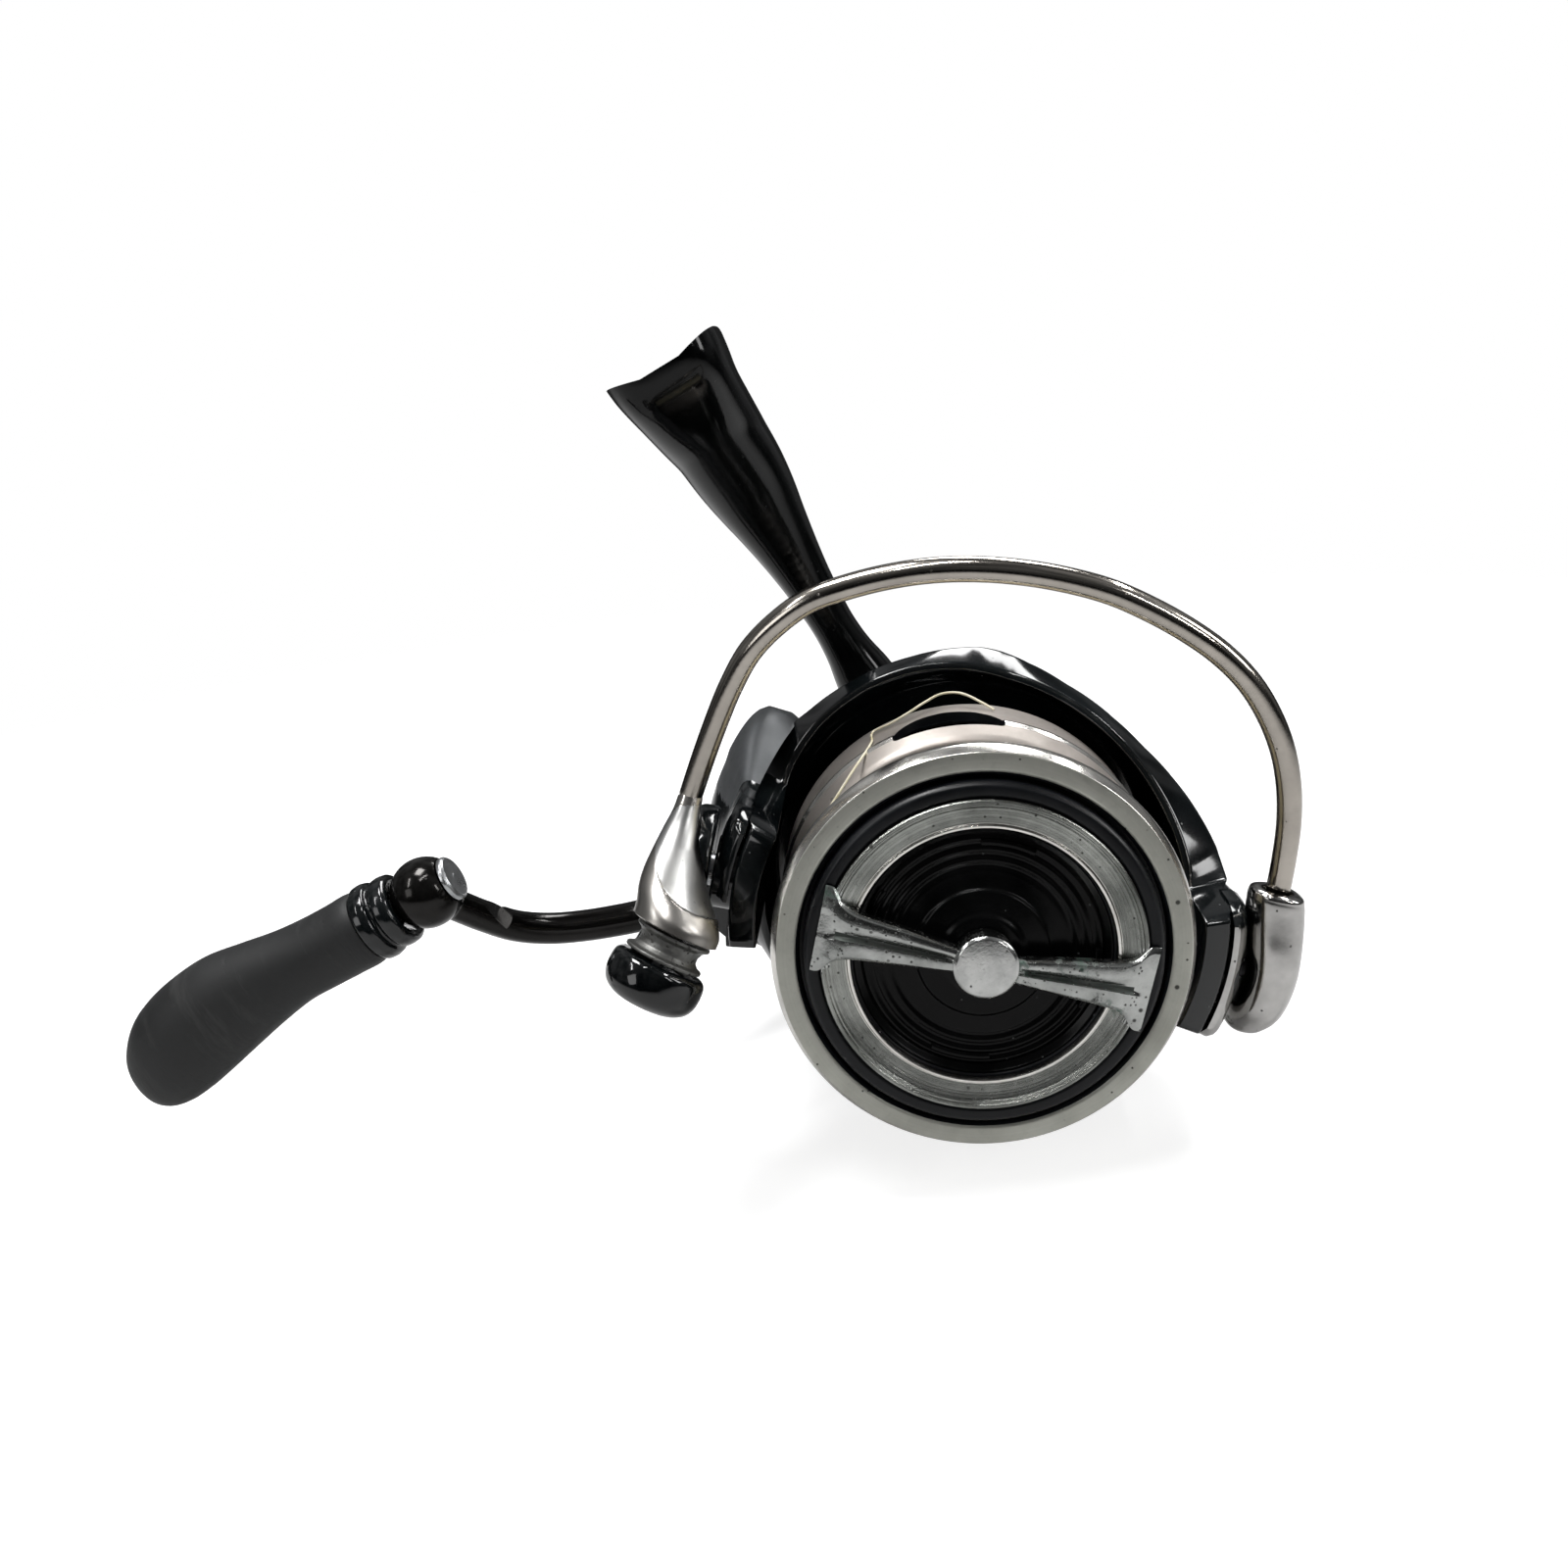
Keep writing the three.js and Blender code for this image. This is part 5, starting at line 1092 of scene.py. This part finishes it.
place(trim, "knob_trim_frame", in_rotor, "drag_knob", ["knob_trim"], [m_chrome, m_ring, m_grime, m_polished_edge_and_highlight], 26, trim_pick)
capd = lathe("cap", S(fillet([(0, -3.62), (3.55, -3.62), (3.55, -3.9), (3.2, -4.2), (0, -4.2)], 0.05, False, 2)), 96)
place(capd, "knob_cap_disc", in_rotor, "drag_knob", ["knob_cap"], m_capd, 24)

# ------------------------------------------------------------------ handle
ARM = [[0, -28.6], [4, -29.1], [9, -30.1], [15, -32.0], [22, -35.6], [27.2, -40.2], [29.9, -44.8], [32.6, -48.9], [36, -52.8], [40, -55.6], [45, -57.3], [50, -58.5], [53.2, -59.3]]
arm_pts = curve([(x, 0, r) for r, x in ARM], 110)
bar = sweep("bar", arm_pts, lambda t: tuple(np.interp(t, [0, 0.2, 0.35, 0.8, 1], [a, b, c, d, e]) for a, b, c, d, e in ((3.1, 2.9, 2.35, 2.15, 2.1), (2.9, 2.7, 2.3, 2.1, 2.0))), (0, 1, 0), 36)
hubh = about_x(lathe("hh", fillet([(0, -24.7), (5.3, -24.7), (5.7, -25.6), (5.7, -30.6), (5.2, -31.8), (3.6, -32.5), (0, -32.6)], 0.6, False), 72))
ball_prof = [(0, -4.6)] + [(4.6 * sin(a), -4.6 * cos(a)) for a in np.linspace(0.12, math.pi - 0.12, 40)] + [(0, 4.6)]
ball = map_coords(about_x(lathe("ball", ball_prof, 72)), lambda p: p + [-59.5, 0, 54.8])
hb = merge("hb", [bar, hubh, ball])
melt(hb, 0.33, 5)
atk = lambda o: map_coords(o, lambda p: p + [0, 0, 54.8])
cut(hb, block(-55.75, -45, -12, 12, 42.8, 66.8), block(-75, -63.75, -12, 12, 42.8, 66.8), atk(about_x(lathe("t", [(0, -75), (1.95, -75), (1.95, -50), (0, -50)], 40))),
    atk(about_x(lathe("t", [(0, -56.3), (3.1, -56.3), (3.1, -50), (0, -50)], 64))))
place(hb, "handle_arm_forged", in_crank, "handle", ["handle_arm"], m_gun, 40)
sp = lathe("spd", fillet([(0, -96), (1.55, -96), (1.55, -56.0), (2.95, -56.0), (2.95, -55.45), (2.6, -55.1), (0.5, -55.15), (0, -55.3)], 0.12, False), 64)
place(atk(about_x(sp)), "knob_spindle_turned", in_crank, "handle", ["knob_spindle"], m_steel, 35)
joint = lathe("j", fillet([(2.2, -24.3), (5.8, -24.3), (6.25, -23.8), (6.3, -22.5), (6.3, -19.4), (5.9, -18.2), (5.2, -17.35), (2.2, -17.35)], 0.3), 120,
              wave=lambda r, y, a: 1 - (0.035 * max(0.0, math.cos(9 * a)) ** 3 if r > 6.1 else 0))
place(about_x(joint), "handle_joint_collar", in_crank, "handle", ["handle_joint"], m_satin, 35)

KNOB = [[-68.2, 4.6, 0, 4.6], [-69, 4.85, 0, 4.8], [-72, 4.85, 0, 4.7], [-76, 4.85, 0.1, 4.6], [-80, 5.0, 0.3, 4.7], [-85, 5.8, 0.35, 5.1], [-90, 6.7, 0.2, 5.6], [-95, 7.1, -0.5, 5.9],
        [-99, 7.05, -1.3, 5.8], [-102.3, 6.45, -2.1, 5.2], [-104.7, 5.2, -2.8, 4.3], [-106.2, 3.7, -3.1, 3.0], [-107.0, 2.0, -3.2, 1.7], [-107.3, 0.7, -3.25, 0.7]]
ks = np.r_[-68.2, -68.6, np.linspace(-69, -104, 70), np.linspace(-104.2, -107.3, 16)]
rings = []
for x, (h, c, w) in zip(ks, spl(KNOB[::-1], ks)):
    w_, h_ = superellipse(72, max(w, 0.3), max(h, 0.3), 2.25)
    rings.append(np.stack([np.full(72, x), w_, h_ + c], 1))
grip = loft("grip", rings)
cut(grip, about_x(lathe("t", [(0, -97), (2.0, -97), (2.0, -60), (0, -60)], 40)))
place(grip, "handle_knob_grip", in_grip, "handle_knob", ["handle_knob"], m_rubber, 40)
col = lathe("col", fillet([(2.0, -64.6), (2.4, -64.2), (3.6, -63.0), (4.2, -62.95), (4.65, -63.3), (4.8, -64.2), (4.75, -65.0), (4.3, -65.35), (4.3, -65.7), (4.9, -66.0), (5.15, -66.8), (5.1, -67.7), (4.9, -67.95), (2.0, -67.95)], 0.2), 96)
place(about_x(col), "knob_collar_rings", in_grip, "handle_knob", ["knob_collar"], m_black, 35)

# ------------------------------------------------------------------ camera frame of the view, and the bail cone, whose hollow follows it
RIGHT = Vector((0.8639, 0.0430, -0.5019)).normalized()
BACK = Vector((0.1590, -0.9690, 0.1908)).normalized()
UP = BACK.cross(RIGHT).normalized()
RIGHT = UP.cross(BACK).normalized()
EYE = Vector((15.7, -197.5, -14.7))


def project(w):
    """Places in mm in the row frame to picture places on a 1600 wide frame."""
    d = w - np.array(EYE)
    z = -(d @ np.array(BACK))
    return 800 + 1500 * (d @ np.array(RIGHT)) / z, 800 - 1500 * (d @ np.array(UP)) / z


def scoop(o):
    """Hollow on the cone's front: a dished facet bounded below by an arc, running out up to the wire."""
    p = coords(o)
    px, py = project(in_rotor(p) * 1000)
    m = o.data
    m.update()
    nrm = np.zeros(len(m.vertices) * 3)
    m.vertex_normals.foreach_get("vector", nrm)
    nrm = nrm.reshape(-1, 3)
    R = np.array([[cos(rad(ROTOR_TURN)), 0, -sin(rad(ROTOR_TURN))], [0, 1, 0], [sin(rad(ROTOR_TURN)), 0, cos(rad(ROTOR_TURN))]])
    toward = R @ (np.array(BACK) * 0.55 + np.array(RIGHT) * 0.75 + np.array(UP) * 0.15)
    toward /= np.linalg.norm(toward)
    facing = nrm @ toward
    inside = 66 - np.hypot(px - 733, py - 873)
    t = np.clip(inside / 2.2, 0, 1)
    t = t * t * (3 - 2 * t)
    lens = np.clip(inside / 46.0, 0, 1)
    depth = (0.16 * t + 0.55 * lens * (2 - lens)) * np.clip((facing + 0.05) / 0.45, 0, 1) * np.clip((py - 816) / 50, 0, 1)
    set_coords(o, p - depth[:, None] * toward)


def facet(c, n):
    px, py = project(c + np.array([0, 13.0, -72.2]))
    return ((np.hypot(px - 733, py - 873) < 64.5) & (py > 822) & (n @ np.array(BACK) > -0.2)).astype(int)


scoop(place_cone_later)
place(place_cone_later, "bail_cone_polished", in_rotor, "bail", ["bail_cone"], [m_polish, m_facet], 24, facet)

# ------------------------------------------------------------------ loose strand of line standing off the spool
def ray_at(px, py, dist):
    d = (Vector(((px - 800) / 1500, -(py - 800) / 1500, -1.0)))
    v = RIGHT * d.x + UP * d.y - BACK * 1.0
    return EYE + v * dist


def on_cylinder(px, py, r):
    """Where the sight line meets a cylinder round the shaft, in mm in the row frame."""
    o = EYE - Vector((0, 13, -72.2))
    v = RIGHT * ((px - 800) / 1500) + UP * (-(py - 800) / 1500) - BACK
    a, b, c = v.x**2 + v.z**2, 2 * (o.x * v.x + o.z * v.z), o.x**2 + o.z**2 - r * r
    D = b * b - 4 * a * c
    if D < 0:
        D = 0
    t = (-b - math.sqrt(D)) / (2 * a)
    return o + v * t


strand = [(848, 822, 22.0), (868, 790, 22.6), (889, 758, 23.05), (892, 746, 23.2), (909, 738, 23.25), (926, 728, 23.6), (943, 717, 24.0), (961, 708, 24.4), (978, 707, 24.4), (1002, 717, 23.6), (1014, 724, 23.1)]
pts = [np.array(on_cylinder(*s)) for s in strand]
st = sweep("strand", curve(pts, 90), lambda t: (0.15, 0.15), (0.3, 1, 0.2), 12)
place(st, "loose_line", in_shaft, "spool", [], m_line, 60)

# ------------------------------------------------------------------ carried-over nodes
KEEP = {
    "drive_bearing_left": m_steel, "drive_bearing_right": m_steel, "pinion_bearing": m_steel, "one_way_clutch": m_steel, "guide_rod": m_steel, "drive_gear": m_brass,
    "handle_shank": m_steel, "pinion_gear": m_brass, "clutch_sleeve": m_steel, "rotor_nut": m_steel, "bail_spring": m_steel, "roller_screw": m_steel, "roller_bearing": m_steel,
    "holder_pivot_screw": m_steel, "oscillation_gear": m_gear, "main_shaft": m_steel, "slider": m_gear, "spool_seat": m_brass, "keyed_washer": m_steel, "spool_bearing": m_steel,
    "felt_washer_rear": m_felt, "felt_washer_front": m_felt, "eared_washer": m_steel, "washer_clip": m_steel, "drag_nut": m_brass, "drag_spring": m_steel, "pressure_plate": m_steel,
}
for n, m in KEEP.items():
    o = NODES[n]
    o.data.materials.clear()
    o.data.materials.append(m)

# ------------------------------------------------------------------ camera
scene = bpy.context.scene
cam = bpy.data.objects.new("camera", bpy.data.cameras.new("camera"))
scene.collection.objects.link(cam)
m = Matrix((RIGHT, UP, BACK)).transposed().to_4x4()
m.translation = EYE / 1000
cam.matrix_world = m
cam.data.lens, cam.data.sensor_width, cam.data.sensor_fit = 33.75, 36.0, "HORIZONTAL"
cam.data.clip_start, cam.data.clip_end = 0.005, 20
scene.camera = cam

# ------------------------------------------------------------------ floor under the reel as it lies, tilted in the row frame
DOWN = (RIGHT * 0.106 - UP * 0.948 - BACK * 0.297).normalized()
bpy.context.view_layer.update()
low = -1e9
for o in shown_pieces():
    if o.type == "MESH":
        low = max(low, float((coords(o) @ np.array(DOWN)).max()))
centre = (CAD_BOX[0] + CAD_BOX[1]) / 2
foot = centre + DOWN * (low + 0.0002 - centre.dot(DOWN))
side_a = RIGHT - DOWN * RIGHT.dot(DOWN)
side_a.normalize()
side_b = DOWN.cross(side_a)
nr = 64
V, F = [tuple(foot)], []
radii = [0.05, 0.12, 0.2, 0.3, 0.42]
for r in radii:
    for k in range(nr):
        a = 2 * math.pi * k / nr
        V.append(tuple(foot + side_a * (r * cos(a)) + side_b * (r * sin(a))))
for k in range(nr):
    F.append((0, 1 + k, 1 + (k + 1) % nr))
for i in range(len(radii) - 1):
    for k in range(nr):
        F.append((1 + i * nr + k, 1 + (i + 1) * nr + k, 1 + (i + 1) * nr + (k + 1) % nr, 1 + i * nr + (k + 1) % nr))
fm = bpy.data.meshes.new("floor")
fm.from_pydata(V, [], F)
fm.update()
if fm.polygons[0].normal.dot(DOWN) > 0:
    fm.flip_normals()
floor = bpy.data.objects.new("floor", fm)
scene.collection.objects.link(floor)
M = Mat("floor")
t = M.t
M.set(Roughness=0.9)
M.put(M.b, "Base Color", M.mix(M.span(M.noise(30, 4, 0.6), 0.3, 0.7), (0.93, 0.93, 0.93), (0.90, 0.90, 0.895)))
geo = t.nodes.new("ShaderNodeNewGeometry")
clear = t.nodes.new("ShaderNodeBsdfTransparent")
dist = t.nodes.new("ShaderNodeVectorMath")
dist.operation = "DISTANCE"
t.links.new(geo.outputs["Position"], dist.inputs[0])
dist.inputs[1].default_value = tuple(foot)
fade = M.span(dist.outputs["Value"], 0.16, 0.36)
hide = M.calc("MAXIMUM", geo.outputs["Backfacing"], fade)
mx = t.nodes.new("ShaderNodeMixShader")
t.links.new(hide, mx.inputs[0])
t.links.new(M.b.outputs[0], mx.inputs[1])
t.links.new(clear.outputs[0], mx.inputs[2])
t.links.new(mx.outputs[0], M.out.inputs[0])
seen = t.nodes.new("ShaderNodeLightPath").outputs["Is Camera Ray"]
M.put(M.b, "Base Color", M.mix(seen, (0.40, 0.40, 0.40), (0.34, 0.34, 0.34)))
M.set(Emission_Color=(1, 1, 1, 1), Emission_Strength=M.span(seen, 0, 1, 0.10, 0.80))
fm.materials.append(M.m)

# ------------------------------------------------------------------ light
world = bpy.data.worlds.new("world")
scene.world = world
world.use_nodes = True
w = world.node_tree
w.nodes.clear()
out = w.nodes.new("ShaderNodeOutputWorld")
tc = w.nodes.new("ShaderNodeTexCoord")


def w_dot(v):
    n = w.nodes.new("ShaderNodeVectorMath")
    n.operation = "DOT_PRODUCT"
    w.links.new(tc.outputs["Generated"], n.inputs[0])
    n.inputs[1].default_value = tuple(v)
    return n.outputs["Value"]


def w_span(s, a, b, lo, hi):
    n = w.nodes.new("ShaderNodeMapRange")
    n.interpolation_type = "SMOOTHSTEP"
    w.links.new(s, n.inputs[0])
    for i, x in enumerate((a, b, lo, hi)):
        n.inputs[i + 1].default_value = x
    return n.outputs[0]


def w_calc(op, a, b):
    n = w.nodes.new("ShaderNodeMath")
    n.operation = op
    for i, x in enumerate((a, b)):
        if hasattr(x, "is_output"):
            w.links.new(x, n.inputs[i])
        else:
            n.inputs[i].default_value = x
    return n.outputs[0]


sky = w_span(w_dot(-DOWN), -0.25, 0.95, 0.03, 0.20)
front = w_span(w_dot(BACK), 0.35, 0.85, 1.0, 0.35)
wn = w.nodes.new("ShaderNodeTexNoise")
w.links.new(tc.outputs["Generated"], wn.inputs["Vector"])
wn.inputs["Scale"].default_value = 2.3
wn.inputs["Detail"].default_value = 3.0
patchy = w_span(wn.outputs[0], 0.40, 0.62, 0.30, 2.1)
level = w_calc("MULTIPLY", w_calc("MULTIPLY", sky, front), patchy)
soft = w.nodes.new("ShaderNodeBackground")
w.links.new(level, soft.inputs["Strength"])
soft.inputs["Color"].default_value = (0.98, 0.99, 1.0, 1)
white = w.nodes.new("ShaderNodeBackground")
white.inputs["Color"].default_value = (1, 1, 1, 1)
white.inputs["Strength"].default_value = 1.0
lp = w.nodes.new("ShaderNodeLightPath")
mix = w.nodes.new("ShaderNodeMixShader")
w.links.new(lp.outputs["Is Camera Ray"], mix.inputs[0])
w.links.new(soft.outputs[0], mix.inputs[1])
w.links.new(white.outputs[0], mix.inputs[2])
w.links.new(mix.outputs[0], out.inputs[0])


def area(name, direction, dist, size, power, aim=None, shape="RECTANGLE", ratio=1.0, colour=(1, 1, 1)):
    l = bpy.data.lights.new(name, "AREA")
    l.shape = shape
    l.size = size
    if shape in ("RECTANGLE", "ELLIPSE"):
        l.size_y = size * ratio
    l.energy = power
    l.color = colour
    o = bpy.data.objects.new(name, l)
    scene.collection.objects.link(o)
    target = Vector(aim) if aim is not None else centre
    d = (RIGHT * direction[0] + UP * direction[1] + BACK * direction[2]).normalized()
    o.location = target + d * dist
    o.rotation_mode = "QUATERNION"
    o.rotation_quaternion = d.to_track_quat("Z", "Y")
    return o


area("key", (-0.35, 1.0, 0.35), 0.42, 0.16, 1.75, ratio=0.8)
area("top", (0.25, 1.0, -0.30), 0.50, 0.30, 1.5, ratio=0.35)
area("rim", (0.95, 0.45, 0.35), 0.45, 0.09, 0.42, ratio=1.8)
area("fill", (-0.9, 0.0, 0.9), 0.6, 0.20, 0.30)
area("tube_1", (-0.1, 0.9, 0.75), 0.5, 0.22, 0.55, ratio=0.05)
area("tube_2", (0.7, 0.9, 0.10), 0.5, 0.22, 0.40, ratio=0.05)
area("tube_3", (-0.85, 0.55, 0.65), 0.5, 0.02, 0.30, ratio=9.0)
area("tube_4", (0.75, 0.35, 0.80), 0.5, 0.015, 0.22, ratio=10.0)

scene.view_settings.view_transform = "Standard"
scene.view_settings.look = "None"
scene.view_settings.exposure = 0.0
scene.view_settings.gamma = 1.0
